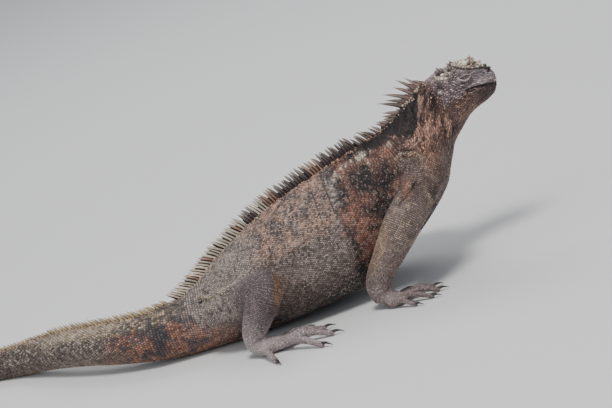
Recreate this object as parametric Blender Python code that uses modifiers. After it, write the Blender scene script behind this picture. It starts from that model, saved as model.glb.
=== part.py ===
"""Marine iguana, a still life-size model.

The animal stands on the floor with its chest raised on straight arms, the rear of its belly and its
tail down, and the head held level. +X is forward, +Y is the animal's left and +Z is up. The flesh is
modelled whole from lofts and then parted with thin cuts into head, neck, torso, tail and limbs.
"""
import math
import random

import bpy
import bmesh
import numpy as np
from mathutils import Matrix, Vector
from mathutils.bvhtree import BVHTree

MM = 0.001
SNOUT_VENT = 400 * MM
GAP = 0.3 * MM
VOXEL = 1.25 * MM
RING_POINTS = 28
RING_STEP = 4.0 * MM
LIMB_POINTS = 16
SEED = 11

# Sizes of the trunk at one station after another from the snout back, in millimetres, seen from the
# side: the dorsal point, the ventral point, the half width, how high the widest place is, and how
# boxy the upper and lower halves are, where 2 is an ellipse.
TRUNK = (
    ("snout tip", (294.6, 167.0), (293.8, 153.5), 7.0, 0.50, 2.5, 2.4),
    ("nostrils", (291.8, 173.0), (288.5, 147.0), 11.5, 0.48, 2.7, 2.3),
    ("muzzle", (284.5, 178.0), (278.5, 142.0), 14.5, 0.46, 2.8, 2.2),
    ("front of eyes", (275.5, 184.0), (268.5, 139.0), 17.0, 0.46, 2.9, 2.1),
    ("eyes", (266.0, 186.5), (259.8, 134.8), 19.0, 0.45, 2.8, 2.1),
    ("temples", (254.0, 186.5), (252.0, 128.8), 22.0, 0.43, 2.5, 2.1),
    ("occiput", (240.0, 186.5), (245.0, 122.8), 23.5, 0.43, 2.3, 2.0),
    ("nape", (227.0, 181.5), (239.0, 117.5), 23.0, 0.45, 2.1, 2.0),
    ("upper neck", (213.0, 172.5), (234.0, 112.0), 24.0, 0.46, 1.9, 2.0),
    ("middle neck", (200.5, 164.5), (229.5, 103.0), 26.5, 0.46, 1.9, 2.0),
    ("lower neck", (188.5, 157.0), (224.0, 92.0), 32.0, 0.46, 1.9, 2.0),
    ("chest", (174.0, 151.0), (214.0, 75.0), 41.0, 0.46, 1.9, 2.1),
    ("shoulders", (158.0, 146.0), (191.0, 54.0), 51.0, 0.46, 1.9, 2.1),
    ("ribs front", (139.0, 141.0), (160.0, 32.0), 57.5, 0.45, 1.9, 2.2),
    ("ribs", (118.0, 136.5), (130.0, 15.5), 63.0, 0.43, 1.9, 2.2),
    ("belly front", (95.0, 130.5), (98.0, 8.0), 66.0, 0.41, 1.9, 2.3),
    ("belly", (70.0, 124.0), (64.0, 5.0), 66.0, 0.40, 1.9, 2.3),
    ("loins", (45.0, 117.0), (34.0, 2.0), 63.0, 0.40, 1.9, 2.3),
    ("loins rear", (17.0, 106.5), (4.0, -0.6), 56.0, 0.41, 1.9, 2.3),
    ("hips", (-10.0, 94.0), (-22.0, -1.2), 50.0, 0.43, 1.9, 2.2),
    ("pelvis", (-32.0, 82.0), (-45.0, -1.2), 42.0, 0.45, 1.9, 2.2),
    ("vent", (-52.0, 70.5), (-64.0, -0.8), 35.5, 0.47, 1.9, 2.1),
)
# The tail in plan, with its whole height, its half width and how far its underside clears the floor.
TAIL = (
    ((-76.0, 0.0), 59.5, 30.0, -0.4),
    ((-110.0, 6.0), 51.5, 25.0, 2.5),
    ((-150.0, 28.0), 45.5, 20.5, 6.0),
    ((-190.0, 62.0), 41.0, 17.0, 8.0),
    ((-226.0, 101.0), 37.0, 14.8, 5.5),
    ((-261.0, 137.0), 33.0, 13.0, 0.5),
    ((-301.0, 163.0), 29.5, 11.4, -0.8),
    ((-346.0, 176.0), 26.0, 9.9, -1.0),
    ((-396.0, 174.0), 22.0, 8.3, -1.0),
    ((-445.0, 161.0), 18.0, 6.8, -0.9),
    ((-492.0, 141.0), 14.0, 5.3, -0.8),
    ((-534.0, 120.0), 10.0, 4.0, -0.6),
    ((-567.0, 105.0), 6.4, 2.8, -0.4),
)
TAIL_TIP = (-582.0, 98.5, 2.0)
SNOUT_TIP = (295.6, 0.0, 160.5)

# The joints of the right limbs, in millimetres, with the two half thicknesses across the limb there.
ARM = (
    ("root", (194.0, -31.0, 106.0), 22.0, 20.0),
    ("shoulder", (191.5, -47.0, 102.0), 23.5, 20.0),
    ("upper arm", (177.5, -66.0, 91.0), 22.5, 17.0),
    ("elbow", (156.0, -81.0, 73.5), 19.5, 15.5),
    ("forearm", (135.5, -84.0, 52.0), 16.0, 13.5),
    ("lower forearm", (120.0, -83.0, 35.0), 13.5, 11.5),
    ("wrist", (113.5, -82.0, 22.0), 12.5, 11.0),
    ("palm heel", (115.5, -82.0, 9.5), 11.0, 10.0),
)
LEG = (
    ("root", (-40.0, -24.0, 42.0), 22.0, 20.0),
    ("hip", (-36.0, -42.0, 43.5), 22.0, 20.0),
    ("thigh", (-13.0, -66.0, 54.5), 20.0, 18.0),
    ("knee", (9.5, -84.5, 63.0), 17.0, 15.5),
    ("calf", (2.0, -90.0, 51.0), 17.5, 15.0),
    ("shin", (-9.0, -93.0, 36.0), 14.5, 12.5),
    ("ankle", (-17.0, -92.0, 22.0), 12.0, 11.0),
    ("heel", (-18.0, -91.0, 9.5), 10.5, 9.5),
)
# Each digit from its base at the edge of the palm or sole to the end of its flesh, in plan, then its
# arch, its thickness and the length of its claw.
HAND_ROOT = (113.0, -83.0)
HAND = (
    ((127.5, -75.5), (152.5, -65.5), 8.5, 3.3, 8.5),
    ((132.5, -81.5), (166.0, -78.0), 10.0, 3.6, 9.0),
    ((133.0, -87.5), (169.0, -94.5), 10.5, 3.7, 9.5),
    ((129.5, -93.0), (160.5, -109.5), 10.0, 3.6, 9.0),
    ((121.5, -96.5), (142.5, -116.5), 8.5, 3.3, 8.5),
)
FOOT_ROOT = (-20.0, -92.0)
FOOT = (
    ((4.0, -83.5), (34.0, -66.5), 10.0, 3.7, 9.5),
    ((11.0, -90.5), (51.5, -86.0), 11.5, 4.0, 10.5),
    ((12.0, -97.5), (57.0, -112.0), 12.5, 4.2, 11.0),
    ((7.0, -104.0), (44.0, -138.5), 12.5, 4.3, 11.5),
    ((-14.5, -102.0), (-3.5, -139.0), 10.5, 3.9, 10.5),
)
# The left limbs copy the right ones, with the hand and foot moved this far forward and outward.
LEFT_HAND_SHIFT = (-24.0, 2.0)
LEFT_FOOT_SHIFT = (-14.0, 3.0)

EYE_CENTRE = (264.8, 15.2, 176.2)
EYE_RADIUS = 5.2
LID_RADIUS = 6.4
LID_LENGTH = 9.6
LID_HEIGHT = 3.9
LID_TILT = 0.0

# Cuts across the trunk: a point of each, in the plane of symmetry, and the way it faces, towards the
# snout, then how far along the tail it is cut, all in millimetres.
HEAD_CUT = ((237.0, 150.0), (0.95, 0.31))
NECK_CUT = ((196.0, 162.0), (0.85, 0.53))
TAIL_CUTS = (8.0, 170.0, 345.0)
WRIST_HEIGHT = 20.0
ARM_ROOM = (96.0, 190.0, -140.0, -62.0)
LEG_ROOM = (-50.0, 80.0, -160.0, -50.0)
REGION_SPARE = 2.4
# What lies this close to the floor is set down on it, so that each foot rests on small flats.
FLAT_REACH = 0.65 * MM

# The nape's spines, the longest and uneven: the node of each, how far it stands along the midline
# of the back from the nape, its height, the length and width of its base, all in millimetres, and
# how far it leans back in degrees.
NAPE = (
    ("neck", 3.2, 9.5, 4.4, 2.8, 12.0),
    ("neck", 7.4, 17.0, 4.6, 3.0, 0.0),
    ("neck", 11.8, 22.0, 5.2, 3.2, 4.0),
    ("neck", 16.8, 20.0, 5.4, 3.2, 12.0),
    ("neck", 22.2, 26.0, 6.0, 3.5, 22.0),
    ("neck", 27.8, 20.0, 5.2, 3.2, 25.0),
    ("neck", 33.2, 23.0, 5.4, 3.4, 23.0),
    ("torso", 42.0, 14.5, 5.0, 3.2, 31.0),
    ("torso", 46.8, 11.5, 4.6, 3.0, 37.0),
    ("torso", 51.2, 8.0, 4.2, 2.8, 36.0),
    ("torso", 55.8, 11.0, 4.6, 3.0, 40.0),
    ("torso", 60.6, 8.5, 4.4, 2.8, 30.0),
)
# The rest of the crest in zones: its node, its ends along that line, the count, height, base
# length and base width of its spines, and how far those at its two ends lean back. The heights
# vary at random by the last share.
CREST = (
    ("torso", (66.0, 92.0), 6, 10.5, 4.4, 2.5, (26.0, 14.0), 0.20),
    ("torso", (97.0, 226.0), 27, 13.0, 4.5, 2.5, (6.0, 8.0), 0.13),
    ("torso", (231.0, 330.0), 21, 12.4, 4.4, 2.4, (10.0, 30.0), 0.11),
    ("tail_base", (345.0, 497.5), 20, 7.4, 5.6, 2.3, (32.0, 30.0), 0.12),
    ("tail_middle", (508.0, 672.5), 17, 5.4, 6.4, 2.2, (32.0, 34.0), 0.10),
    ("tail_end", (684.0, 800.0), 10, 3.4, 6.8, 2.0, (36.0, 36.0), 0.10),
)
CREST_SINK = 2.2
SPINE_BEND = 0.10
# Bumps of the head on its right side, in millimetres: place, radius and height.
BUMPS = (
    ((246.5, -14.5, 184.0), 3.6, 3.4),
    ((240.0, -17.0, 181.5), 3.2, 3.0),
    ((249.0, -18.5, 180.0), 2.6, 2.4),
    ((254.5, -8.5, 187.5), 3.0, 3.2),
    ((262.0, -9.5, 189.0), 3.4, 3.4),
    ((270.0, -8.5, 188.5), 3.5, 3.8),
    ((277.0, -7.0, 185.5), 3.1, 3.6),
    ((283.5, -5.5, 180.5), 2.8, 3.2),
    ((290.5, -6.0, 176.0), 2.4, 3.2),
)
MID_BUMPS = (
    ((266.0, 0.0, 189.0), 3.5, 3.0),
    ((274.5, 0.0, 186.5), 3.3, 3.2),
    ((257.5, 0.0, 189.0), 3.0, 2.8),
    ((243.0, 0.0, 187.5), 2.8, 3.2),
)
# How many triangles each kind of node is thinned to before its cuts.
BUDGET = {
    "head": 1820,
    "neck": 560,
    "torso": 1160,
    "tail_base": 440,
    "tail_middle": 380,
    "tail_end": 300,
    "limb": 230,
    "foot": 480,
}

HORN = (0.055, 0.050, 0.048, 1.0)
SKINS = {
    "head": (0.16, 0.135, 0.12, 1.0),
    "neck": (0.17, 0.11, 0.085, 1.0),
    "torso": (0.13, 0.105, 0.09, 1.0),
    "tail": (0.18, 0.145, 0.12, 1.0),
    "limb": (0.19, 0.17, 0.155, 1.0),
}
EYE_COLOUR = (0.03, 0.022, 0.018, 1.0)


def clear_scene():
    for obj in list(bpy.data.objects):
        bpy.data.objects.remove(obj)


def make_collections():
    model = bpy.data.collections.new("marine_iguana")
    cutters = bpy.data.collections.new("cutters")
    cutters.hide_render = True
    for collection in (model, cutters):
        bpy.context.scene.collection.children.link(collection)
    return model, cutters


def material(name, colour, roughness):
    made = bpy.data.materials.new(name)
    made.use_nodes = True
    shader = made.node_tree.nodes["Principled BSDF"]
    shader.inputs["Base Color"].default_value = colour
    shader.inputs["Roughness"].default_value = roughness
    shader.inputs["Metallic"].default_value = 0.0
    return made


def object_of(name, vertices, faces, collection):
    mesh = bpy.data.meshes.new(name)
    mesh.from_pydata([tuple(v) for v in vertices], [], [tuple(f) for f in faces])
    mesh.update()
    obj = bpy.data.objects.new(name, mesh)
    collection.objects.link(obj)
    return obj


def curve_through(points, step):
    """Points of a Catmull-Rom curve through rows of numbers, whose first three are a place."""
    rows = np.array(points, float)
    padded = np.vstack([2 * rows[0] - rows[1], rows, 2 * rows[-1] - rows[-2]])
    made = []
    for i in range(1, len(padded) - 2):
        before, start, end, after = padded[i - 1 : i + 3]
        length = np.linalg.norm(end[:3] - start[:3])
        count = max(1, int(round(length / step)))
        for t in np.arange(count) / count:
            made.append(
                0.5
                * (
                    2 * start
                    + (end - before) * t
                    + (2 * before - 5 * start + 4 * end - after) * t**2
                    + (3 * start - before - 3 * end + after) * t**3
                )
            )
    made.append(rows[-1])
    return np.array(made)


def loft(name, rings, first_pole, last_pole, collection):
    """A closed skin over rings of equally many points, ended by a point at each end."""
    count = len(rings[0])
    vertices = [p for ring in rings for p in ring] + [first_pole, last_pole]
    faces = []
    for i in range(len(rings) - 1):
        for j in range(count):
            k = (j + 1) % count
            faces.append((i * count + j, (i + 1) * count + j, (i + 1) * count + k, i * count + k))
    first, last = len(vertices) - 2, len(vertices) - 1
    end = (len(rings) - 1) * count
    for j in range(count):
        k = (j + 1) % count
        faces.append((first, j, k))
        faces.append((last, end + k, end + j))
    obj = object_of(name, vertices, faces, collection)
    shell = bmesh.new()
    shell.from_mesh(obj.data)
    bmesh.ops.recalc_face_normals(shell, faces=shell.faces)
    shell.to_mesh(obj.data)
    shell.free()
    return obj


def signed_power(value, power):
    return math.copysign(abs(value) ** power, value)


def trunk_ring(row):
    """A section of the trunk between its dorsal and ventral points."""
    dorsal_x, _, dorsal_z, ventral_x, _, ventral_z, half_width, belt, upper, lower = row
    dorsal, ventral = Vector((dorsal_x, 0, dorsal_z)), Vector((ventral_x, 0, ventral_z))
    widest = ventral.lerp(dorsal, belt)
    ring = []
    for j in range(RING_POINTS):
        angle = math.tau * j / RING_POINTS
        end, fullness = (dorsal, upper) if math.sin(angle) >= 0 else (ventral, lower)
        across = half_width * signed_power(math.cos(angle), 2 / fullness)
        along = abs(math.sin(angle)) ** (2 / fullness)
        ring.append(widest + (end - widest) * along + Vector((0, across, 0)))
    return ring


def tail_ring(place, heading, height, half_width, lift):
    side = Vector((-heading.y, heading.x, 0)).normalized()
    ring = []
    for j in range(RING_POINTS):
        angle = math.tau * j / RING_POINTS
        across = half_width * signed_power(math.cos(angle), 0.95)
        up = lift + height / 2 + height / 2 * signed_power(math.sin(angle), 0.95)
        ring.append(Vector((place.x, place.y, 0)) - side * across + Vector((0, 0, up)))
    return ring


def make_trunk(collection):
    """Snout, head, neck, torso and tail in one loft."""
    rows = []
    for _, dorsal, ventral, half_width, belt, upper, lower in TRUNK:
        rows.append(
            (dorsal[0] * MM, 0, dorsal[1] * MM, ventral[0] * MM, 0, ventral[1] * MM)
            + (half_width * MM, belt, upper, lower)
        )
    rings = [trunk_ring(row) for row in curve_through(rows, RING_STEP)]
    rows = [
        (x * MM, y * MM, 0, height * MM, half * MM, lift * MM) for (x, y), height, half, lift in TAIL
    ]
    tail = curve_through(rows, RING_STEP)
    headings = np.gradient(tail[:, :2], axis=0)
    for row, heading in zip(tail, headings):
        place = Vector((row[0], row[1], 0))
        rings.append(tail_ring(place, Vector((*heading, 0)), row[3], row[4], row[5]))
    snout = Vector(SNOUT_TIP) * MM
    return loft("trunk", rings, snout, Vector(TAIL_TIP) * MM, collection)


def make_limb(name, joints, side, shift, collection):
    """A limb through its joints; the shift grows from nothing at the root to all of it at the end."""
    rows = []
    for i, (_, (x, y, z), long, short) in enumerate(joints):
        share = (i / (len(joints) - 1)) ** 1.5
        rows.append(
            (
                (x + shift[0] * share) * MM,
                side * (abs(y) + shift[1] * share) * MM,
                z * MM,
                long * MM,
                short * MM,
            )
        )
    path = curve_through(rows, RING_STEP)
    return tube(name, path, collection)


def tube(name, path, collection):
    """A skin round a path whose rows are a place and two half thicknesses."""
    headings = np.gradient(path[:, :3], axis=0)
    rings = []
    for row, heading in zip(path, headings):
        along = Vector(heading).normalized()
        out = along.cross(Vector((1, 0, 0.35))).normalized()
        level = out.cross(along).normalized()
        ring = []
        for j in range(LIMB_POINTS):
            angle = math.tau * j / LIMB_POINTS
            ring.append(
                Vector(row[:3]) + level * (row[3] * math.cos(angle)) + out * (row[4] * math.sin(angle))
            )
        rings.append(ring)
    first = Vector(path[0, :3]) - Vector(headings[0]).normalized() * path[0, 4] * 0.5
    last = Vector(path[-1, :3]) + Vector(headings[-1]).normalized() * path[-1, 4] * 0.6
    return loft(name, rings, first, last, collection)


def digit_path(root, base, tip, arch, thick, side, shift):
    """The middle line of a digit: out of the palm, over two knuckles and down to the floor."""

    def place(plan, z):
        return ((plan[0] + shift[0]) * MM, side * (abs(plan[1]) + shift[1]) * MM, z * MM)

    def between(a, b, t):
        return (a[0] + (b[0] - a[0]) * t, a[1] + (b[1] - a[1]) * t)

    rows = (
        (place(root, 12.0), thick * 2.1),
        (place(between(root, base, 0.55), 8.5), thick * 1.75),
        (place(base, arch * 0.60), thick * 1.28),
        (place(between(base, tip, 0.32), arch * 0.78), thick * 0.96),
        (place(between(base, tip, 0.55), arch * 0.74), thick * 1.04),
        (place(between(base, tip, 0.78), arch * 0.46), thick * 0.88),
        (place(tip, thick * 0.56), thick * 0.82),
    )
    return [(*at, r * MM, r * MM * 0.92) for at, r in rows]


def make_digits(name, root, digits, side, shift, collection):
    made = []
    for i, (base, tip, arch, thick, _) in enumerate(digits):
        path = curve_through(digit_path(root, base, tip, arch, thick, side, shift), 2.5 * MM)
        made.append(tube(f"{name}_{i + 1}", path, collection))
    return made


def solid_mesh(obj):
    """The object's mesh with its modifiers applied."""
    graph = bpy.context.evaluated_depsgraph_get()
    return bpy.data.meshes.new_from_object(obj.evaluated_get(graph))


def apply_modifiers(obj):
    mesh = solid_mesh(obj)
    obj.modifiers.clear()
    obj.data = mesh
    return obj


def fuse(name, pieces, collection):
    """Closed skins that overlap, made one smooth skin."""
    shell = bmesh.new()
    for piece in pieces:
        shell.from_mesh(piece.data)
        bpy.data.objects.remove(piece)
    mesh = bpy.data.meshes.new(name)
    shell.to_mesh(mesh)
    shell.free()
    obj = bpy.data.objects.new(name, mesh)
    collection.objects.link(obj)
    remesh = obj.modifiers.new("skin", "REMESH")
    remesh.mode = "VOXEL"
    remesh.voxel_size = VOXEL
    smooth = obj.modifiers.new("soften", "SMOOTH")
    smooth.factor = 0.5
    smooth.iterations = 5
    return apply_modifiers(obj)


def read_points(mesh):
    points = np.empty(len(mesh.vertices) * 3)
    mesh.vertices.foreach_get("co", points)
    return points.reshape(-1, 3)


def read_normals(mesh):
    normals = np.empty(len(mesh.vertices) * 3)
    mesh.vertices.foreach_get("normal", normals)
    return normals.reshape(-1, 3)


def write_points(mesh, points):
    mesh.vertices.foreach_set("co", points.ravel())
    mesh.update()


def distance_to_path(points, path):
    """How far each point is from a line through places."""
    nearest = np.full(len(points), 1e9)
    if len(path) == 1:
        return np.linalg.norm(points - path[0], axis=1)
    for a, b in zip(path[:-1], path[1:]):
        along = b - a
        t = np.clip((points - a) @ along / (along @ along), 0, 1)
        nearest = np.minimum(nearest, np.linalg.norm(points - a - t[:, None] * along, axis=1))
    return nearest


# Ridges, hollows and grooves of the right side, in millimetres: the line that each follows, its
# reach to either side and its height, which is below zero where it goes in.
FORMS = (
    ("brow", ((249, -17, 183), (260, -18, 186), (271, -16.5, 185), (281, -13, 180)), 3.4, 2.2),
    ("crown", ((258, 0, 187.5), (267, 0, 187.5), (275, 0, 185.0), (281, 0, 181.5)), 7.5, 2.4),
    ("eye hollow", ((261, -20, 175), (269, -18, 175)), 6.0, -1.4),
    ("muzzle hollow", ((277, -16, 171), (284, -13.5, 169)), 4.5, -0.9),
    ("nostril swelling", ((288.5, -9.5, 171.5),), 4.0, 1.3),
    ("nostril", ((290.5, -10.0, 172.5),), 1.7, -2.4),
    ("upper lip", ((264, -21, 166), (276, -17, 165), (287, -12.5, 162.5), (294, -6, 161)), 3.0, 0.7),
    (
        "mouth",
        ((262, -20.5, 162.6), (270, -18, 162.9), (278, -16, 161.4), (288, -11.8, 159.2), (296, -3, 157.4)),
        1.6,
        -1.8,
    ),
    ("mouth front", ((296, -3, 157.4), (297.5, 0, 157.2)), 1.6, -1.5),
    ("lower lip", ((268, -18, 157.5), (279, -14.5, 155), (289, -9.5, 152.5)), 3.0, 0.8),
    ("jaw muscle", ((249, -22, 160),), 12.0, 2.2),
    ("cheek", ((258, -21, 152),), 8.0, 1.0),
    ("ear", ((238.5, -24, 169.5),), 3.6, -2.6),
    ("ear rim", ((234.5, -23, 173), (233, -24, 168), (235.5, -24, 164)), 2.6, 1.1),
    ("neck fold", ((227, -21, 170), (222, -25, 150), (224, -24, 130)), 4.0, -1.5),
    ("neck fold rear", ((213, -20, 164), (208, -29, 142), (211, -29, 120)), 5.0, -1.5),
    ("throat", ((243, 0, 120), (233, 0, 108)), 9.0, 1.0),
    ("shoulder crease", ((170, -52, 112), (163, -60, 98), (158, -66, 90)), 5.0, -2.5),
    ("flank crease", ((-58, -36, 54), (-37, -50, 64), (-11, -62, 74)), 4.5, -2.4),
    ("armpit", ((150, -62, 70), (146, -62, 60)), 6.0, -2.0),
    ("nape ridge", ((222, 0, 179), (205, 0, 168), (190, 0, 158), (174, 0, 151)), 5.0, 3.2),
    ("back ridge", ((158, 0, 146), (118, 0, 137), (70, 0, 124), (17, 0, 107), (-40, 0, 77)), 3.6, 1.8),
    ("shoulder blade", ((181, -46, 122), (172, -54, 112)), 11.0, 1.6),
    ("upper arm", ((177, -84, 97), (165, -92, 86)), 8.0, 1.4),
    ("forearm", ((146, -98, 66), (137, -98, 54)), 6.5, 1.2),
    ("thigh front", ((0, -82, 66), (10, -96, 66)), 7.0, 1.2),
    ("calf", ((-2, -102, 52), (-6, -104, 42)), 5.5, 1.2),
    ("pectoral", ((209, -30, 108), (210, -32, 92), (204, -38, 80)), 8.0, 2.4),
)


def sculpt(obj, forms, both_sides=True):
    points, normals = read_points(obj.data), read_normals(obj.data)
    for _, path, reach, height in forms:
        for side in (1, -1) if both_sides else (1,):
            line = np.array(path, float) * (1, side, 1) * MM
            if side == -1 and np.allclose(line[:, 1], 0):
                continue
            far = distance_to_path(points, line)
            near = far < 3 * reach * MM
            share = np.exp(-((far[near] / (reach * MM)) ** 2))
            points[near] += normals[near] * (share * height * MM)[:, None]
    write_points(obj.data, points)


def press_on_floor(obj):
    """Flattens what would reach below the floor, so that the animal rests on small flats."""
    points = read_points(obj.data)
    points[:, 2] = np.maximum(points[:, 2], 0)
    write_points(obj.data, points)


def join(obj, other, operation):
    """Applies a Boolean; MANIFOLD, because the skin is dense."""
    step = obj.modifiers.new(operation, "BOOLEAN")
    step.operation = operation
    step.solver = "MANIFOLD"
    step.object = other
    return apply_modifiers(obj)


def largest_body(obj):
    """Keeps only the largest closed surface of the object."""
    shell = bmesh.new()
    shell.from_mesh(obj.data)
    shell.faces.ensure_lookup_table()
    left, groups = set(shell.faces), []
    while left:
        seed = left.pop()
        group, front = {seed}, [seed]
        while front:
            face = front.pop()
            for edge in face.edges:
                for other in edge.link_faces:
                    if other in left:
                        left.discard(other)
                        group.add(other)
                        front.append(other)
        groups.append(group)
    groups.sort(key=lambda g: sum(f.calc_area() for f in g), reverse=True)
    loose = [f for group in groups[1:] for f in group]
    bmesh.ops.delete(shell, geom=loose, context="FACES")
    bmesh.ops.delete(shell, geom=[v for v in shell.verts if not v.link_faces], context="VERTS")
    shell.to_mesh(obj.data)
    shell.free()
    return obj


def copy_of(obj, name, collection):
    made = bpy.data.objects.new(name, obj.data.copy())
    collection.objects.link(made)
    return made


def half_space(point, facing, collection, reach=1.2):
    """A big box whose near face passes through the point, on the side that it faces."""
    bpy.ops.mesh.primitive_cube_add(size=reach)
    box = bpy.context.object
    turn = Vector((0, 0, 1)).rotation_difference(Vector(facing).normalized()).to_matrix().to_4x4()
    box.data.transform(Matrix.Translation(Vector(point)) @ turn @ Matrix.Translation((0, 0, reach / 2)))
    for owner in list(box.users_collection):
        owner.objects.unlink(box)
    collection.objects.link(box)
    return box


def box_between(low, high, collection):
    bpy.ops.mesh.primitive_cube_add(size=1)
    box = bpy.context.object
    low, high = Vector(low), Vector(high)
    size = high - low
    box.data.transform(
        Matrix.Translation((low + high) / 2) @ Matrix.Diagonal((size.x, size.y, size.z, 1))
    )
    for owner in list(box.users_collection):
        owner.objects.unlink(box)
    collection.objects.link(box)
    return box


def keep_side(obj, point, facing, cutters):
    """Cuts away what lies behind the plane through the point, less half of the gap."""
    facing = Vector(facing).normalized()
    cutter = half_space(Vector(point) + facing * GAP / 2, facing, cutters)
    join(obj, cutter, "INTERSECT")
    bpy.data.objects.remove(cutter)
    return obj


def remove_region(obj, region):
    return join(obj, region, "DIFFERENCE")


def outer_tube(name, joints, side, shift, collection):
    """The room of a limb: its tube a little wider, clean enough to cut with."""
    wide = [
        (word, place, long + REGION_SPARE, short + REGION_SPARE) for word, place, long, short in joints
    ]
    obj = make_limb(name, wide, side, shift, collection)
    remesh = obj.modifiers.new("clean", "REMESH")
    remesh.mode = "VOXEL"
    remesh.voxel_size = 2.2 * MM
    smooth = obj.modifiers.new("soften", "SMOOTH")
    smooth.iterations = 4
    thin = obj.modifiers.new("thin", "DECIMATE")
    thin.ratio = 0.06
    return apply_modifiers(obj)


def swollen(obj, name, amount, collection):
    """A copy whose skin lies further out."""
    made = copy_of(obj, name, collection)
    write_points(made.data, read_points(made.data) + read_normals(made.data) * amount)
    return made


def rough_piece(flesh, name, low, high, budget, model, cutters):
    """The flesh inside a room, thinned to about the budget of triangles."""
    made = bpy.data.objects.new(name, flesh.data.copy())
    model.objects.link(made)
    for attempt in range(8):
        wider = Vector((1, 1, 1)) * 0.13 * attempt
        room = box_between((Vector(low) - wider) * MM, (Vector(high) + wider) * MM, cutters)
        made.data = flesh.data.copy()
        join(made, room, "INTERSECT")
        bpy.data.objects.remove(room)
        weld(made.data)
        count = len(made.data.polygons)
        step = made.modifiers.new("thin", "DECIMATE")
        step.ratio = min(1.0, budget / count)
        apply_modifiers(made)
        if is_closed(made.data):
            break
    points = read_points(made.data)
    points[:, 2] = np.where(points[:, 2] < FLAT_REACH, 0, points[:, 2])
    write_points(made.data, points)
    return made


def weld(mesh):
    """Merges the tiny edges that a cut leaves and makes the mesh all triangles."""
    shell = bmesh.new()
    shell.from_mesh(mesh)
    bmesh.ops.remove_doubles(shell, verts=shell.verts, dist=0.00005)
    bmesh.ops.triangulate(shell, faces=shell.faces)
    shell.to_mesh(mesh)
    shell.free()


def is_closed(mesh):
    """Whether each edge has just two faces, as a Boolean needs."""
    used = {}
    for polygon in mesh.polygons:
        for key in polygon.edge_keys:
            used[key] = used.get(key, 0) + 1
    return all(count == 2 for count in used.values())


def midline():
    """The line along the top of the neck, back and tail, from the nape, as places and headings."""
    rows = []
    for word, dorsal, _, _, _, _, _ in TRUNK[7:]:
        rows.append((dorsal[0] * MM, 0, dorsal[1] * MM))
    for (x, y), height, _, lift in TAIL:
        rows.append((x * MM, y * MM, (height + lift) * MM))
    rows.append(Vector(TAIL_TIP) * MM)
    line = curve_through(rows, 1.0 * MM)
    steps = np.linalg.norm(np.diff(line, axis=0), axis=1)
    return line, np.concatenate([[0], np.cumsum(steps)])


def place_on(line, along, distance):
    place = Vector([float(np.interp(distance, along, line[:, k])) for k in range(3)])
    ahead = Vector([float(np.interp(distance + 2 * MM, along, line[:, k])) for k in range(3)])
    return place, (ahead - place).normalized()


def cone(name, base, up, along, height, half_length, half_width, collection, bend=0.0, rings=1):
    """A spine, flat from side to side, whose tip bends along the given way."""
    side = up.cross(along).normalized()
    vertices, faces = [], []
    for i in range(rings + 1):
        share = 0.56 * i / rings
        centre = base + up * height * share + along * bend * share**2
        size = 1 - share**2.2
        for a, b in ((1, 0), (0, 1), (-1, 0), (0, -1)):
            vertices.append(centre + along * half_length * a * size + side * half_width * b * size)
    vertices.append(base + up * height + along * bend)
    tip = len(vertices) - 1
    faces.append((3, 2, 1, 0))
    for i in range(rings):
        for j in range(4):
            k = (j + 1) % 4
            faces.append((4 * i + j, 4 * i + k, 4 * i + 4 + k, 4 * i + 4 + j))
    for j in range(4):
        faces.append((4 * rings + j, 4 * rings + (j + 1) % 4, tip))
    obj = object_of(name, vertices, faces, collection)
    shell = bmesh.new()
    shell.from_mesh(obj.data)
    bmesh.ops.triangulate(shell, faces=shell.faces)
    bmesh.ops.recalc_face_normals(shell, faces=shell.faces)
    shell.to_mesh(obj.data)
    shell.free()
    return obj


def surface_under(tree, place, up):
    hit = tree.ray_cast(place + up * 20 * MM, -up, 60 * MM)
    return hit[0] if hit[0] is not None else place


def crest_rows():
    """Every spine of the crest: its node, place along the midline, height, base and lean."""
    rows = [row for row in NAPE]
    for owner, (start, end), count, height, length, width, leans, spread in CREST:
        for i in range(count):
            share = i / (count - 1)
            lean = leans[0] + (leans[1] - leans[0]) * share + random.uniform(-4, 4)
            tall = height * (1 + spread * random.uniform(-1, 1))
            rows.append((owner, start + (end - start) * share, tall, length, width, lean))
    return rows


def crest_spines(node, rows, tree, collection):
    """The spines that grow from one node."""
    line, along = midline()
    for i, (owner, distance, tall, length, width, lean) in enumerate(rows):
        if owner != node:
            continue
        place, heading = place_on(line, along, distance * MM)
        across = Vector((-heading.y, heading.x, 0))
        across = Vector((0, 1, 0)) if across.length < 1e-6 else across.normalized()
        normal = heading.cross(across)
        normal = normal if normal.z > 0 else -normal
        turn = math.radians(lean)
        up = (normal * math.cos(turn) + heading * math.sin(turn)).normalized()
        flat = (heading - up * heading.dot(up)).normalized()
        place = surface_under(tree, place, normal)
        cone(
            f"spine_{node}_{i}",
            place - up * CREST_SINK * MM,
            up,
            flat,
            (tall + CREST_SINK) * MM,
            length / 2 * MM,
            width / 2 * MM,
            collection,
            bend=tall * SPINE_BEND * MM,
        )


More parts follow.
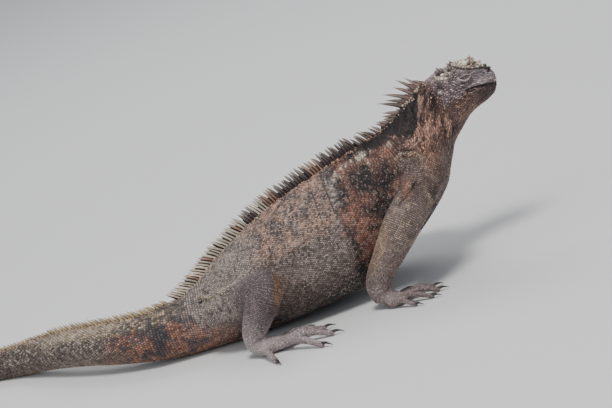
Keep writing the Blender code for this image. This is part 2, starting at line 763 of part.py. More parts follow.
def bump(name, place, out, radius, height, collection):
    """A low pointed tubercle with five sides."""
    out = out.normalized()
    first = out.cross(Vector((0.3, 1, 0.2))).normalized()
    second = out.cross(first).normalized()
    vertices, faces = [], []
    turn = random.uniform(0, math.tau)
    for share, size in ((-0.8, 0.9), (0.55, 0.70)):
        for j in range(5):
            angle = math.tau * j / 5 + turn
            vertices.append(
                place
                + out * height * share
                + (first * math.cos(angle) + second * math.sin(angle)) * radius * size
            )
    vertices.append(place + out * height)
    faces.append(tuple(range(4, -1, -1)))
    for j in range(5):
        k = (j + 1) % 5
        faces.append((j, k, 5 + k, 5 + j))
        faces.append((5 + j, 5 + k, 10))
    obj = object_of(name, vertices, faces, collection)
    shell = bmesh.new()
    shell.from_mesh(obj.data)
    bmesh.ops.triangulate(shell, faces=shell.faces)
    bmesh.ops.recalc_face_normals(shell, faces=shell.faces)
    shell.to_mesh(obj.data)
    shell.free()


def head_bumps(tree, collection):
    spots = [(place, radius, height) for place, radius, height in MID_BUMPS]
    for (x, y, z), radius, height in BUMPS:
        spots.append(((x, y, z), radius, height))
        spots.append(((x, -y, z), radius, height))
    for i, (place, radius, height) in enumerate(spots):
        at = Vector(place) * MM
        spot, normal, _, _ = tree.find_nearest(at)
        bump(f"bump_{i}", spot, normal, radius * MM, height * MM, collection)


def union_all(obj, grown):
    """Joins the node and everything grown on it in one union, then removes what was grown."""
    if not grown.objects:
        return obj
    step = obj.modifiers.new("grow", "BOOLEAN")
    step.operation = "UNION"
    step.solver = "MANIFOLD"
    step.operand_type = "COLLECTION"
    step.collection = grown
    apply_modifiers(obj)
    for piece in list(grown.objects):
        bpy.data.objects.remove(piece)
    return obj


def eye_room(side, collection):
    """What is cut from the head for an eye: its ball with the gap and the opening of the lids."""
    centre = Vector((EYE_CENTRE[0], side * EYE_CENTRE[1], EYE_CENTRE[2])) * MM
    bpy.ops.mesh.primitive_ico_sphere_add(subdivisions=3, radius=EYE_RADIUS * MM + GAP)
    ball = bpy.context.object
    move_into(ball, collection)
    ball.data.transform(Matrix.Translation(centre))
    points, faces = [], []
    count = 12
    for reach in (0.0, 9.0):
        for j in range(count):
            angle = math.tau * j / count
            x = math.cos(angle) * LID_LENGTH / 2 * (1 if reach else 0.9)
            z = signed_power(math.sin(angle), 1.4) * LID_HEIGHT / 2 + LID_TILT * x
            points.append(centre + Vector((x * MM, side * reach * MM, z * MM)))
    faces.append(tuple(range(count)))
    faces.append(tuple(range(2 * count - 1, count - 1, -1)))
    for j in range(count):
        k = (j + 1) % count
        faces.append((j, count + j, count + k, k))
    slot = object_of("lid_opening", points, faces, collection)
    shell = bmesh.new()
    shell.from_mesh(slot.data)
    bmesh.ops.triangulate(shell, faces=shell.faces)
    bmesh.ops.recalc_face_normals(shell, faces=shell.faces)
    shell.to_mesh(slot.data)
    shell.free()
    return [ball, slot]


def move_into(obj, collection):
    for owner in list(obj.users_collection):
        owner.objects.unlink(obj)
    collection.objects.link(obj)


def make_eye(name, side, collection):
    bpy.ops.mesh.primitive_ico_sphere_add(subdivisions=3, radius=EYE_RADIUS * MM)
    eye = bpy.context.object
    eye.name = name
    move_into(eye, collection)
    centre = Vector((EYE_CENTRE[0], side * EYE_CENTRE[1], EYE_CENTRE[2])) * MM
    eye.data.transform(Matrix.Translation(centre))
    return eye


def claw_path(base, tip, thick, length, side, shift):
    """The middle line of a claw, out of the end of the digit and down to the floor."""
    out = Vector((tip[0] - base[0], side * (abs(tip[1]) - abs(base[1])), 0)).normalized()
    start = Vector((tip[0] + shift[0], side * (abs(tip[1]) + shift[1]), thick * 0.80))
    rows = []
    for share, rise, radius in (
        (-0.28, 0.10, 0.50),
        (0.0, 0.35, 0.52),
        (0.34, 0.50, 0.40),
        (0.72, -0.05, 0.24),
    ):
        at = start + out * length * share
        at.z += rise * thick * 0.5
        rows.append((at.x * MM, at.y * MM, at.z * MM, thick * radius * MM, thick * radius * 0.86 * MM))
    end = start + out * length
    end.z = max(0.55, thick * 0.42)
    return rows, end * MM


def make_claw(name, base, tip, thick, length, side, shift, collection, sides=5):
    rows, end = claw_path(base, tip, thick, length, side, shift)
    out = (Vector(rows[1][:3]) - Vector(rows[0][:3])).normalized()
    level = Vector((-out.y, out.x, 0)).normalized()
    rings = []
    for row in rows:
        ring = []
        for j in range(sides):
            angle = math.tau * j / sides
            lift = level.cross(out)
            lift = lift if lift.z > 0 else -lift
            ring.append(
                Vector(row[:3]) + level * row[4] * math.cos(angle) + lift * row[3] * math.sin(angle)
            )
        rings.append(ring)
    first = Vector(rows[0][:3]) - out * 0.2 * MM
    return loft(name, rings, first, end, collection)


def elbow_plane(joints, index, side, shift):
    """The middle joint of a limb and the way from the root across it."""
    share = (index / (len(joints) - 1)) ** 1.5

    def at(i):
        x, y, z = joints[i][1]
        part = (i / (len(joints) - 1)) ** 1.5
        return Vector((x + shift[0] * part, side * (abs(y) + shift[1] * part), z)) * MM

    before = (at(index) - at(index - 1)).normalized()
    after = (at(index + 1) - at(index)).normalized()
    return at(index), (before + after).normalized()


def make_lid(name, side, collection):
    """The bulge of the lids round an eye."""
    bpy.ops.mesh.primitive_ico_sphere_add(subdivisions=4, radius=LID_RADIUS * MM)
    ball = bpy.context.object
    ball.name = name
    move_into(ball, collection)
    centre = Vector((EYE_CENTRE[0], side * EYE_CENTRE[1], EYE_CENTRE[2])) * MM
    ball.data.transform(Matrix.Translation(centre))
    return ball


def tree_of(obj):
    mesh = obj.data
    points = [v.co.copy() for v in mesh.vertices]
    return BVHTree.FromPolygons(points, [tuple(p.vertices) for p in mesh.polygons])


def tail_plane(distance):
    """The place and heading of the tail at a distance along it, in millimetres."""
    rows = [(x * MM, y * MM, 30 * MM) for (x, y), _, _, _ in TAIL]
    line = curve_through(rows, 1 * MM)
    steps = np.linalg.norm(np.diff(line, axis=0), axis=1)
    along = np.concatenate([[0], np.cumsum(steps)])
    return place_on(line, along, distance * MM)


def make_nodes(flesh, sides, model, cutters):
    """Parts the flesh with thin cuts and grows the crest, the bumps and the claws."""
    grown = bpy.data.collections.new("grown")
    bpy.context.scene.collection.children.link(grown)
    tree = tree_of(flesh)
    head_at = Vector((HEAD_CUT[0][0], 0, HEAD_CUT[0][1])) * MM
    head_way = Vector((HEAD_CUT[1][0], 0, HEAD_CUT[1][1])).normalized()
    neck_at = Vector((NECK_CUT[0][0], 0, NECK_CUT[0][1])) * MM
    neck_way = Vector((NECK_CUT[1][0], 0, NECK_CUT[1][1])).normalized()

    head = rough_piece(flesh, "head", (215, -60, 95), (310, 60, 210), BUDGET["head"], model, cutters)
    head_bumps(tree_of(head), grown)
    union_all(head, grown)
    keep_side(head, head_at, head_way, cutters)
    for side, word, _, _ in sides:
        for piece in eye_room(side, cutters):
            join(head, piece, "DIFFERENCE")
            bpy.data.objects.remove(piece)
        make_eye(f"eye_{word}", side, model)

    # The spines grow after the cuts, so that those that lean over a cut stay whole.
    rows = crest_rows()
    neck = rough_piece(flesh, "neck", (165, -75, 60), (270, 75, 200), BUDGET["neck"], model, cutters)
    surface = tree_of(neck)
    keep_side(neck, head_at, -head_way, cutters)
    keep_side(neck, neck_at, neck_way, cutters)
    crest_spines("neck", rows, surface, grown)
    union_all(neck, grown)

    torso = rough_piece(
        flesh, "torso", (-110, -80, -10), (250, 80, 190), BUDGET["torso"], model, cutters
    )
    surface = tree_of(torso)
    keep_side(torso, neck_at, -neck_way, cutters)
    first, first_way = tail_plane(TAIL_CUTS[0])
    keep_side(torso, first, -first_way, cutters)
    crest_spines("torso", rows, surface, grown)
    union_all(torso, grown)

    ends = [tail_plane(distance) for distance in TAIL_CUTS]
    rooms = (
        ("tail_base", (-260, -60, -10), (-60, 150, 100)),
        ("tail_middle", (-420, 40, -10), (-180, 220, 80)),
        ("tail_end", (-620, 40, -10), (-350, 220, 60)),
    )
    for i, (name, low, high) in enumerate(rooms):
        tail = rough_piece(flesh, name, low, high, BUDGET[name], model, cutters)
        surface = tree_of(tail)
        keep_side(tail, ends[i][0], ends[i][1], cutters)
        if i < 2:
            keep_side(tail, ends[i + 1][0], -ends[i + 1][1], cutters)
        crest_spines(name, rows, surface, grown)
        union_all(tail, grown)

    for side, word, hand_shift, foot_shift in sides:
        for joints, shift, names, digits, root, room in (
            (ARM, hand_shift, ("upper_arm", "forearm", "hand", "finger"), HAND, HAND_ROOT, ARM_ROOM),
            (LEG, foot_shift, ("thigh", "shank", "foot", "toe"), FOOT, FOOT_ROOT, LEG_ROOM),
        ):
            make_limb_nodes(flesh, torso, side, word, joints, shift, names, digits, room, model, cutters)
    for obj in model.objects:
        largest_body(obj)


def make_limb_nodes(flesh, torso, side, word, joints, shift, names, digits, room, model, cutters):
    region = outer_tube(f"room_{names[0]}_{word}", joints, side, shift, cutters)
    socket = swollen(region, f"socket_{names[0]}_{word}", 1.2 * GAP, cutters)
    join(torso, socket, "DIFFERENCE")
    bpy.data.objects.remove(socket)
    low_x = min(j[1][0] for j in joints) - 40
    high_x = max(j[1][0] for j in joints) + 40
    ends = sorted((side * 10, side * 130))
    rough = rough_piece(
        flesh,
        f"{names[0]}_{word}",
        (low_x, ends[0], 8),
        (high_x, ends[1], 140),
        BUDGET["limb"] * 3,
        model,
        cutters,
    )
    join(rough, region, "INTERSECT")
    bpy.data.objects.remove(region)
    middle, way = elbow_plane(joints, 3, side, shift)
    lower = copy_of(rough, f"{names[1]}_{word}", model)
    keep_side(rough, middle, -way, cutters)
    keep_side(lower, middle, way, cutters)
    level = Vector((0, 0, WRIST_HEIGHT * MM))
    keep_side(lower, level, (0, 0, 1), cutters)
    near, far = abs(room[3]), abs(room[2])
    ends = sorted((side * near, side * far))
    end = rough_piece(
        flesh,
        f"{names[2]}_{word}",
        (room[0] + min(0, shift[0]), ends[0], -10),
        (room[1], ends[1], 26),
        BUDGET["foot"],
        model,
        cutters,
    )
    keep_side(end, level, (0, 0, -1), cutters)
    for i, (base, tip, _, thick, length) in enumerate(digits):
        claw = make_claw(
            f"claw_{names[2]}_{word}_{i + 1}", base, tip, thick, length, side, shift, model
        )
        hollow = swollen(claw, "hollow", GAP * 1.1, cutters)
        join(end, hollow, "DIFFERENCE")
        bpy.data.objects.remove(hollow)


def finish(flesh, model, cutters):
    """Gives each node its material and puts the middle of the whole on the origin of the floor."""
    low, high = np.full(3, 1e9), np.full(3, -1e9)
    for obj in model.objects:
        points = read_points(obj.data)
        low, high = np.minimum(low, points.min(axis=0)), np.maximum(high, points.max(axis=0))
    shift = Vector((-(low[0] + high[0]) / 2, -(low[1] + high[1]) / 2, -low[2]))
    for obj in model.objects:
        obj.data.transform(Matrix.Translation(shift))
        colour, roughness = look_of(obj.name)
        obj.data.materials.clear()
        obj.data.materials.append(material(f"{obj.name}_surface", colour, roughness))
    for obj in list(cutters.objects):
        bpy.data.objects.remove(obj)


def look_of(name):
    if name.startswith("claw"):
        return HORN, 0.45
    if name.startswith("eye"):
        return EYE_COLOUR, 0.15
    word = name.split("_")[0]
    return SKINS.get(word, SKINS["limb"]), 0.75


def main():
    random.seed(SEED)
    clear_scene()
    model, cutters = make_collections()
    pieces = [make_trunk(cutters)]
    sides = (
        (-1, "right", (0, 0), (0, 0)),
        (1, "left", LEFT_HAND_SHIFT, LEFT_FOOT_SHIFT),
    )
    for side, word, hand_shift, foot_shift in sides:
        pieces.append(make_limb(f"arm_{word}", ARM, side, hand_shift, cutters))
        pieces.append(make_limb(f"leg_{word}", LEG, side, foot_shift, cutters))
        pieces += make_digits(f"finger_{word}", HAND_ROOT, HAND, side, hand_shift, cutters)
        pieces += make_digits(f"toe_{word}", FOOT_ROOT, FOOT, side, foot_shift, cutters)
        pieces.append(make_lid(f"lid_{word}", side, cutters))
    flesh = fuse("flesh", pieces, cutters)
    sculpt(flesh, FORMS)
    press_on_floor(flesh)
    make_nodes(flesh, sides, model, cutters)
    finish(flesh, model, cutters)


if __name__ == "__main__":
    main()
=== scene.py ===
import math
import random
from collections import namedtuple
from types import SimpleNamespace

import bmesh
import bpy
import numpy as np
from mathutils import Matrix, Vector
from mathutils.bvhtree import BVHTree
from mathutils.kdtree import KDTree


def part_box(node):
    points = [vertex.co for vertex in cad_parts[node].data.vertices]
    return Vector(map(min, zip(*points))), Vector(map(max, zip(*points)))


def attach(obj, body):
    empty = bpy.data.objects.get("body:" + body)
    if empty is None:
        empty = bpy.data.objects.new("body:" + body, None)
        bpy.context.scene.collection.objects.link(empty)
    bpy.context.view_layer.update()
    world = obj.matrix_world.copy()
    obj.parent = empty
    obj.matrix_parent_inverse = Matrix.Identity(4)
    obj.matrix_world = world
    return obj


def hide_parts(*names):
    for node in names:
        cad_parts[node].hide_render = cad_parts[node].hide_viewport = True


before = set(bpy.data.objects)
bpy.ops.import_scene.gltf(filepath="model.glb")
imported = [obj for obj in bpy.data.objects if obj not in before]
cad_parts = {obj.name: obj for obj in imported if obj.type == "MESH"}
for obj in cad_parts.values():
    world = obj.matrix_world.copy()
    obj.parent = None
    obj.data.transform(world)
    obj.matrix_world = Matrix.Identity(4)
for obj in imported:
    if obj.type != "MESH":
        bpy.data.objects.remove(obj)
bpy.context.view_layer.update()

MM = 0.001
SEED = 29
DRAW = np.random.default_rng(SEED)
random.seed(SEED)
# The grain of the skin's mesh, the points and steps of the lofts it is made from, and how deep it
# lies inside the solids.
VOXEL = 1.5 * MM
RING_POINTS = 56
LIMB_POINTS = 30
DIGIT_POINTS = 20
RING_STEP = 3.0 * MM
DIGIT_STEP = 2 * MM
COAT_DEPTH = 0.55 * MM

# The animal's sizes, the same as in the solids. Trunk stations: dorsal point, ventral point, half
# width, height of the widest place, boxiness of the upper and lower halves. All in millimetres.
TRUNK = (
    ("snout tip", (294.6, 167.0), (293.8, 153.5), 7.0, 0.50, 2.5, 2.4),
    ("nostrils", (291.8, 173.0), (288.5, 147.0), 11.5, 0.48, 2.7, 2.3),
    ("muzzle", (284.5, 178.0), (278.5, 142.0), 14.5, 0.46, 2.8, 2.2),
    ("front of eyes", (275.5, 184.0), (268.5, 139.0), 17.0, 0.46, 2.9, 2.1),
    ("eyes", (266.0, 186.5), (259.8, 134.8), 19.0, 0.45, 2.8, 2.1),
    ("temples", (254.0, 186.5), (252.0, 128.8), 22.0, 0.43, 2.5, 2.1),
    ("occiput", (240.0, 186.5), (245.0, 122.8), 23.5, 0.43, 2.3, 2.0),
    ("nape", (227.0, 181.5), (239.0, 117.5), 23.0, 0.45, 2.1, 2.0),
    ("upper neck", (213.0, 172.5), (234.0, 112.0), 24.0, 0.46, 1.9, 2.0),
    ("middle neck", (200.5, 164.5), (229.5, 103.0), 26.5, 0.46, 1.9, 2.0),
    ("lower neck", (188.5, 157.0), (224.0, 92.0), 32.0, 0.46, 1.9, 2.0),
    ("chest", (174.0, 151.0), (214.0, 75.0), 41.0, 0.46, 1.9, 2.1),
    ("shoulders", (158.0, 146.0), (191.0, 54.0), 51.0, 0.46, 1.9, 2.1),
    ("ribs front", (139.0, 141.0), (160.0, 32.0), 57.5, 0.45, 1.9, 2.2),
    ("ribs", (118.0, 136.5), (130.0, 15.5), 63.0, 0.43, 1.9, 2.2),
    ("belly front", (95.0, 130.5), (98.0, 8.0), 66.0, 0.41, 1.9, 2.3),
    ("belly", (70.0, 124.0), (64.0, 5.0), 66.0, 0.40, 1.9, 2.3),
    ("loins", (45.0, 117.0), (34.0, 2.0), 63.0, 0.40, 1.9, 2.3),
    ("loins rear", (17.0, 106.5), (4.0, -0.6), 56.0, 0.41, 1.9, 2.3),
    ("hips", (-10.0, 94.0), (-22.0, -1.2), 50.0, 0.43, 1.9, 2.2),
    ("pelvis", (-32.0, 82.0), (-45.0, -1.2), 42.0, 0.45, 1.9, 2.2),
    ("vent", (-52.0, 70.5), (-64.0, -0.8), 35.5, 0.47, 1.9, 2.1),
)
# Tail: place in plan, height, half width and lift off the floor.
TAIL = (
    ((-76.0, 0.0), 59.5, 30.0, -0.4),
    ((-110.0, 6.0), 51.5, 25.0, 2.5),
    ((-150.0, 28.0), 45.5, 20.5, 6.0),
    ((-190.0, 62.0), 41.0, 17.0, 8.0),
    ((-226.0, 101.0), 37.0, 14.8, 5.5),
    ((-261.0, 137.0), 33.0, 13.0, 0.5),
    ((-301.0, 163.0), 29.5, 11.4, -0.8),
    ((-346.0, 176.0), 26.0, 9.9, -1.0),
    ((-396.0, 174.0), 22.0, 8.3, -1.0),
    ((-445.0, 161.0), 18.0, 6.8, -0.9),
    ((-492.0, 141.0), 14.0, 5.3, -0.8),
    ((-534.0, 120.0), 10.0, 4.0, -0.6),
    ((-567.0, 105.0), 6.4, 2.8, -0.4),
)
TAIL_TIP = (-582.0, 98.5, 2.0)
SNOUT_TIP = (295.6, 0.0, 160.5)

# Limbs: place, half width along the body and half width across the limb.
ARM = (
    ("root", (194.0, -31.0, 106.0), 22.0, 20.0),
    ("shoulder", (191.5, -47.0, 102.0), 23.5, 20.0),
    ("upper arm", (177.5, -66.0, 91.0), 22.5, 17.0),
    ("elbow", (156.0, -81.0, 73.5), 19.5, 15.5),
    ("forearm", (135.5, -84.0, 52.0), 16.0, 13.5),
    ("lower forearm", (120.0, -83.0, 35.0), 13.5, 11.5),
    ("wrist", (113.5, -82.0, 22.0), 12.5, 11.0),
    ("palm heel", (115.5, -82.0, 9.5), 11.0, 10.0),
)
LEG = (
    ("root", (-40.0, -24.0, 42.0), 22.0, 20.0),
    ("hip", (-36.0, -42.0, 43.5), 22.0, 20.0),
    ("thigh", (-13.0, -66.0, 54.5), 20.0, 18.0),
    ("knee", (9.5, -84.5, 63.0), 17.0, 15.5),
    ("calf", (2.0, -90.0, 51.0), 17.5, 15.0),
    ("shin", (-9.0, -93.0, 36.0), 14.5, 12.5),
    ("ankle", (-17.0, -92.0, 22.0), 12.0, 11.0),
    ("heel", (-18.0, -91.0, 9.5), 10.5, 9.5),
)
# Digits in plan: base, tip, height of the arch, thickness and the claw's length.
HAND_ROOT = (113.0, -83.0)
HAND = (
    ((127.5, -75.5), (152.5, -65.5), 8.5, 3.3, 8.5),
    ((132.5, -81.5), (166.0, -78.0), 10.0, 3.6, 9.0),
    ((133.0, -87.5), (169.0, -94.5), 10.5, 3.7, 9.5),
    ((129.5, -93.0), (160.5, -109.5), 10.0, 3.6, 9.0),
    ((121.5, -96.5), (142.5, -116.5), 8.5, 3.3, 8.5),
)
FOOT_ROOT = (-20.0, -92.0)
FOOT = (
    ((4.0, -83.5), (34.0, -66.5), 10.0, 3.7, 9.5),
    ((11.0, -90.5), (51.5, -86.0), 11.5, 4.0, 10.5),
    ((12.0, -97.5), (57.0, -112.0), 12.5, 4.2, 11.0),
    ((7.0, -104.0), (44.0, -138.5), 12.5, 4.3, 11.5),
    ((-14.5, -102.0), (-3.5, -139.0), 10.5, 3.9, 10.5),
)
LEFT_HAND_SHIFT = (-24.0, 2.0)
LEFT_FOOT_SHIFT = (-14.0, 3.0)

# The eyes, and the swellings and openings of their lids.
EYE_CENTRE = (264.8, 15.2, 176.2)
EYE_RADIUS = 5.2
LID_RADIUS = 6.4
LID_LENGTH = 9.6
LID_HEIGHT = 3.9
LID_THICKNESS = 0.95
# Wrinkles round the lids: place, in openings' widths from the middle, and height.
LID_FOLDS = ((1.75, 0.30), (2.2, 0.32), (2.65, 0.3), (3.1, 0.24))
# The line of the mouth, and the nostril and ear beside it. All lines and spots here are given for one
# side of the body: x forwards, y outwards, z up, in millimetres.
MOUTH = ((262, 20.5, 162.6), (270, 18, 162.9), (278, 16, 161.4), (288, 11.8, 159.2), (296, 3, 157.4))
MOUTH_FRONT = (MOUTH[-1], (297.5, 0, 157.2))
MOUTH_CORNER = ((261.5, 20.5, 160.6), (270, 18, 160.2))
NOSTRIL = (290.0, 10.0, 172.6)
EAR = (236.5, 24.0, 170.5)
ARM_CREASE = ((181, 66, 106), (170, 74, 100), (159, 78, 94))
THIGH_CREASE = ((-58, 36, 54), (-38, 50, 63), (-12, 62, 72), (8, 66, 74.6))
THIGH_EDGE = ((-60, 35, 57.5), (-39, 49, 66.5), (-13, 61, 75.5), (8, 66, 78))
BROW_SHADE = (
    (256, 17, 187.2), (261, 17, 185.2), (267.4, 16, 182.4),
    (272.8, 15, 180), (279.5, 12, 178), (286.4, 9, 175.8),
)
# Ridges, hollows and grooves: line, reach and height.
FORMS = (
    ("brow", ((249, 17, 183), (260, 18, 186), (271, 16.5, 185), (281, 13, 180)), 3.4, 2.2),
    ("crown", ((258, 0, 187.5), (267, 0, 187.5), (275, 0, 185.0), (281, 0, 181.5)), 7.5, 2.4),
    ("eye hollow", ((261, 20, 175), (269, 18, 175)), 6.0, -1.4),
    ("muzzle hollow", ((277, 16, 171), (284, 13.5, 169)), 4.5, -0.9),
    ("nostril swelling", ((288.5, 9.5, 171.5),), 4.0, 1.3),
    ("nostril", ((290.5, 10.0, 172.5),), 1.7, -2.4),
    ("upper lip", ((264, 21, 166), (276, 17, 165), (287, 12.5, 162.5), (294, 6, 161)), 3.0, 0.7),
    ("mouth", MOUTH, 1.6, -1.8),
    ("mouth front", MOUTH_FRONT, 1.6, -1.5),
    ("lower lip", ((268, 18, 157.5), (279, 14.5, 155), (289, 9.5, 152.5)), 3.0, 0.8),
    ("jaw muscle", ((249, 22, 160),), 12.0, 2.2),
    ("cheek", ((258, 21, 152),), 8.0, 1.0),
    ("ear", ((238.5, 24, 169.5),), 3.6, -2.6),
    ("ear rim", ((234.5, 23, 173), (233, 24, 168), (235.5, 24, 164)), 2.6, 1.1),
    ("neck fold", ((227, 21, 170), (222, 25, 150), (224, 24, 130)), 4.0, -1.5),
    ("neck fold rear", ((213, 20, 164), (208, 29, 142), (211, 29, 120)), 5.0, -1.5),
    ("throat", ((243, 0, 120), (233, 0, 108)), 9.0, 1.0),
    ("shoulder crease", ((170, 52, 112), (163, 60, 98), (158, 66, 90)), 5.0, -2.5),
    ("flank crease", ((-58, 36, 54), (-37, 50, 64), (-11, 62, 74)), 4.5, -2.4),
    ("armpit", ((150, 62, 70), (146, 62, 60)), 6.0, -2.0),
    ("nape ridge", ((222, 0, 179), (205, 0, 168), (190, 0, 158), (174, 0, 151)), 5.0, 3.2),
    ("back ridge", ((158, 0, 146), (118, 0, 137), (70, 0, 124), (17, 0, 107), (-40, 0, 77)), 3.6, 1.8),
    ("shoulder blade", ((181, 46, 122), (172, 54, 112)), 11.0, 1.6),
    ("upper arm", ((177, 84, 97), (165, 92, 86)), 8.0, 1.4),
    ("forearm", ((146, 98, 66), (137, 98, 54)), 6.5, 1.2),
    ("thigh front", ((0, 82, 66), (10, 96, 66)), 7.0, 1.2),
    ("calf", ((-2, 102, 52), (-6, 104, 42)), 5.5, 1.2),
    ("pectoral", ((209, 30, 108), (210, 32, 92), (204, 38, 80)), 8.0, 2.4),
)
# The crest on the nape: place along the midline, height, base length and width, and lean in degrees.
NAPE = (
    (3.2, 9.5, 4.4, 2.8, 12.0),
    (7.4, 17.0, 4.6, 3.0, 0.0),
    (11.8, 22.0, 5.2, 3.2, 4.0),
    (16.8, 20.0, 5.4, 3.2, 12.0),
    (22.2, 26.0, 6.0, 3.5, 22.0),
    (27.8, 20.0, 5.2, 3.2, 25.0),
    (33.2, 23.0, 5.4, 3.4, 23.0),
    (42.0, 14.5, 5.0, 3.2, 31.0),
    (46.8, 11.5, 4.6, 3.0, 37.0),
    (51.2, 8.0, 4.2, 2.8, 36.0),
    (55.8, 11.0, 4.6, 3.0, 40.0),
    (60.6, 8.5, 4.4, 2.8, 30.0),
)
# The rest of it, in runs: first and last place, height, base width, first and last lean, and spread.
CREST = (
    ((66.0, 92.0), 10.5, 2.5, (26.0, 14.0), 0.20),
    ((97.0, 226.0), 13.0, 2.5, (6.0, 8.0), 0.13),
    ((231.0, 330.0), 12.4, 2.4, (10.0, 30.0), 0.11),
    ((345.0, 497.5), 7.4, 2.3, (32.0, 30.0), 0.12),
    ((508.0, 672.5), 5.4, 2.2, (32.0, 34.0), 0.10),
    ((684.0, 800.0), 3.4, 2.0, (36.0, 36.0), 0.10),
)
# The head's tubercles on the right side and the middle: place, radius and height.
BUMPS = (
    ((246.5, -14.5, 184.0), 3.6, 3.4),
    ((240.0, -17.0, 181.5), 3.2, 3.0),
    ((249.0, -18.5, 180.0), 2.6, 2.4),
    ((254.5, -8.5, 187.5), 3.0, 3.2),
    ((262.0, -9.5, 189.0), 3.4, 3.4),
    ((270.0, -8.5, 188.5), 3.5, 3.8),
    ((277.0, -7.0, 185.5), 3.1, 3.6),
    ((283.5, -5.5, 180.5), 2.8, 3.2),
    ((290.5, -6.0, 176.0), 2.4, 3.2),
    ((266.0, 0.0, 189.0), 3.5, 3.0),
    ((274.5, 0.0, 186.5), 3.3, 3.2),
    ((257.5, 0.0, 189.0), 3.0, 2.8),
    ((243.0, 0.0, 187.5), 2.8, 3.2),
)
# Where the rows of scales of the neck give way to the scattered ones of the head.
HEAD_ZONE = 222.0

Limb = namedtuple("Limb", "side word kind end joints root digits shift")
LIMBS = (
    Limb(-1, "right", "arm", "hand", ARM, HAND_ROOT, HAND, (0, 0)),
    Limb(-1, "right", "leg", "foot", LEG, FOOT_ROOT, FOOT, (0, 0)),
    Limb(1, "left", "arm", "hand", ARM, HAND_ROOT, HAND, LEFT_HAND_SHIFT),
    Limb(1, "left", "leg", "foot", LEG, FOOT_ROOT, FOOT, LEFT_FOOT_SHIFT),
)


# ---------------------------------------------------------------- shapes of the flesh


def curve_through(points, step):
    """A smooth line through rows of numbers, with a row at about every step of its first three."""
    rows = np.array(points, float)
    padded = np.vstack([2 * rows[0] - rows[1], rows, 2 * rows[-1] - rows[-2]])
    made = []
    for i in range(1, len(padded) - 2):
        before, start, end, after = padded[i - 1 : i + 3]
        count = max(1, int(round(np.linalg.norm(end[:3] - start[:3]) / step)))
        for t in np.arange(count) / count:
            first = 2 * start + (end - before) * t
            second = (2 * before - 5 * start + 4 * end - after) * t**2
            third = (3 * start - before - 3 * end + after) * t**3
            made.append(0.5 * (first + second + third))
    made.append(rows[-1])
    return np.array(made)


def travelled(line):
    """How far along a line each of its points lies."""
    return np.concatenate([[0], np.cumsum(np.linalg.norm(np.diff(line, axis=0), axis=1))])


def as_array(rings):
    return np.array([[tuple(p) for p in ring] for ring in rings])


def linked(name, data):
    obj = bpy.data.objects.new(name, data)
    bpy.context.scene.collection.objects.link(obj)
    return obj


def loft(name, rings, first_pole, last_pole):
    """A closed tube through the rings, with a point at each end."""
    count = len(rings[0])
    vertices = [p for ring in rings for p in ring] + [first_pole, last_pole]
    first, last = len(vertices) - 2, len(vertices) - 1
    end = (len(rings) - 1) * count
    faces = [
        (i + j, i + count + j, i + count + k, i + k)
        for i in range(0, end, count)
        for j, k in neighbours(count)
    ]
    for j, k in neighbours(count):
        faces += [(first, j, k), (last, end + k, end + j)]
    mesh = bpy.data.meshes.new(name)
    mesh.from_pydata([tuple(v) for v in vertices], [], faces)
    mesh.update()
    face_outwards(mesh)
    return linked(name, mesh)


def neighbours(count):
    """Each number of a closed row with the next one."""
    return [(j, (j + 1) % count) for j in range(count)]


def tube_faces(rings, count):
    """The triangles of a tube of rings of points."""
    return [
        face
        for i in range(0, (rings - 1) * count, count)
        for j, k in neighbours(count)
        for face in ((i + j, i + k, i + count + k), (i + j, i + count + k, i + count + j))
    ]


def face_outwards(mesh):
    shell = bmesh.new()
    shell.from_mesh(mesh)
    bmesh.ops.recalc_face_normals(shell, faces=shell.faces)
    shell.to_mesh(mesh)
    shell.free()


def signed_power(value, power):
    return math.copysign(abs(value) ** power, value)


def trunk_ring(row, count):
    dorsal_x, _, dorsal_z, ventral_x, _, ventral_z, half_width, belt, upper, lower = row
    dorsal, ventral = Vector((dorsal_x, 0, dorsal_z)), Vector((ventral_x, 0, ventral_z))
    widest = ventral.lerp(dorsal, belt)
    ring = []
    for j in range(count):
        angle = math.tau * j / count
        end, fullness = (dorsal, upper) if math.sin(angle) >= 0 else (ventral, lower)
        across = half_width * signed_power(math.cos(angle), 2 / fullness)
        along = abs(math.sin(angle)) ** (2 / fullness)
        ring.append(widest + (end - widest) * along + Vector((0, across, 0)))
    return ring


def tail_ring(place, heading, height, half_width, lift, count):
    side = Vector((-heading.y, heading.x, 0)).normalized()
    ring = []
    for j in range(count):
        angle = math.tau * j / count
        across = half_width * signed_power(math.cos(angle), 0.95)
        up = lift + height / 2 + height / 2 * signed_power(math.sin(angle), 0.95)
        ring.append(place - side * across + Vector((0, 0, up)))
    return ring


def trunk_rings(step, count):
    """Rings from the snout to the end of the tail."""
    rows = [
        (dorsal[0] * MM, 0, dorsal[1] * MM, ventral[0] * MM, 0, ventral[1] * MM, half * MM, *shape)
        for _, dorsal, ventral, half, *shape in TRUNK
    ]
    rings = [trunk_ring(row, count) for row in curve_through(rows, step)]
    rows = [(x, y, 0, height, half, lift) for (x, y), height, half, lift in TAIL]
    tail = curve_through(np.array(rows) * MM, step)
    for row, heading in zip(tail, np.gradient(tail[:, :2], axis=0)):
        rings.append(tail_ring(Vector((row[0], row[1], 0)), Vector((*heading, 0)), *row[3:], count))
    return rings


def limb_path(limb, step):
    """The middle line of an arm or leg with its two half widths, in metres."""
    rows = []
    for i, (_, (x, y, z), long, short) in enumerate(limb.joints):
        share = (i / (len(limb.joints) - 1)) ** 1.5
        across = limb.side * (abs(y) + limb.shift[1] * share)
        rows.append((x + limb.shift[0] * share, across, z, long, short))
    return curve_through(np.array(rows) * MM, step)


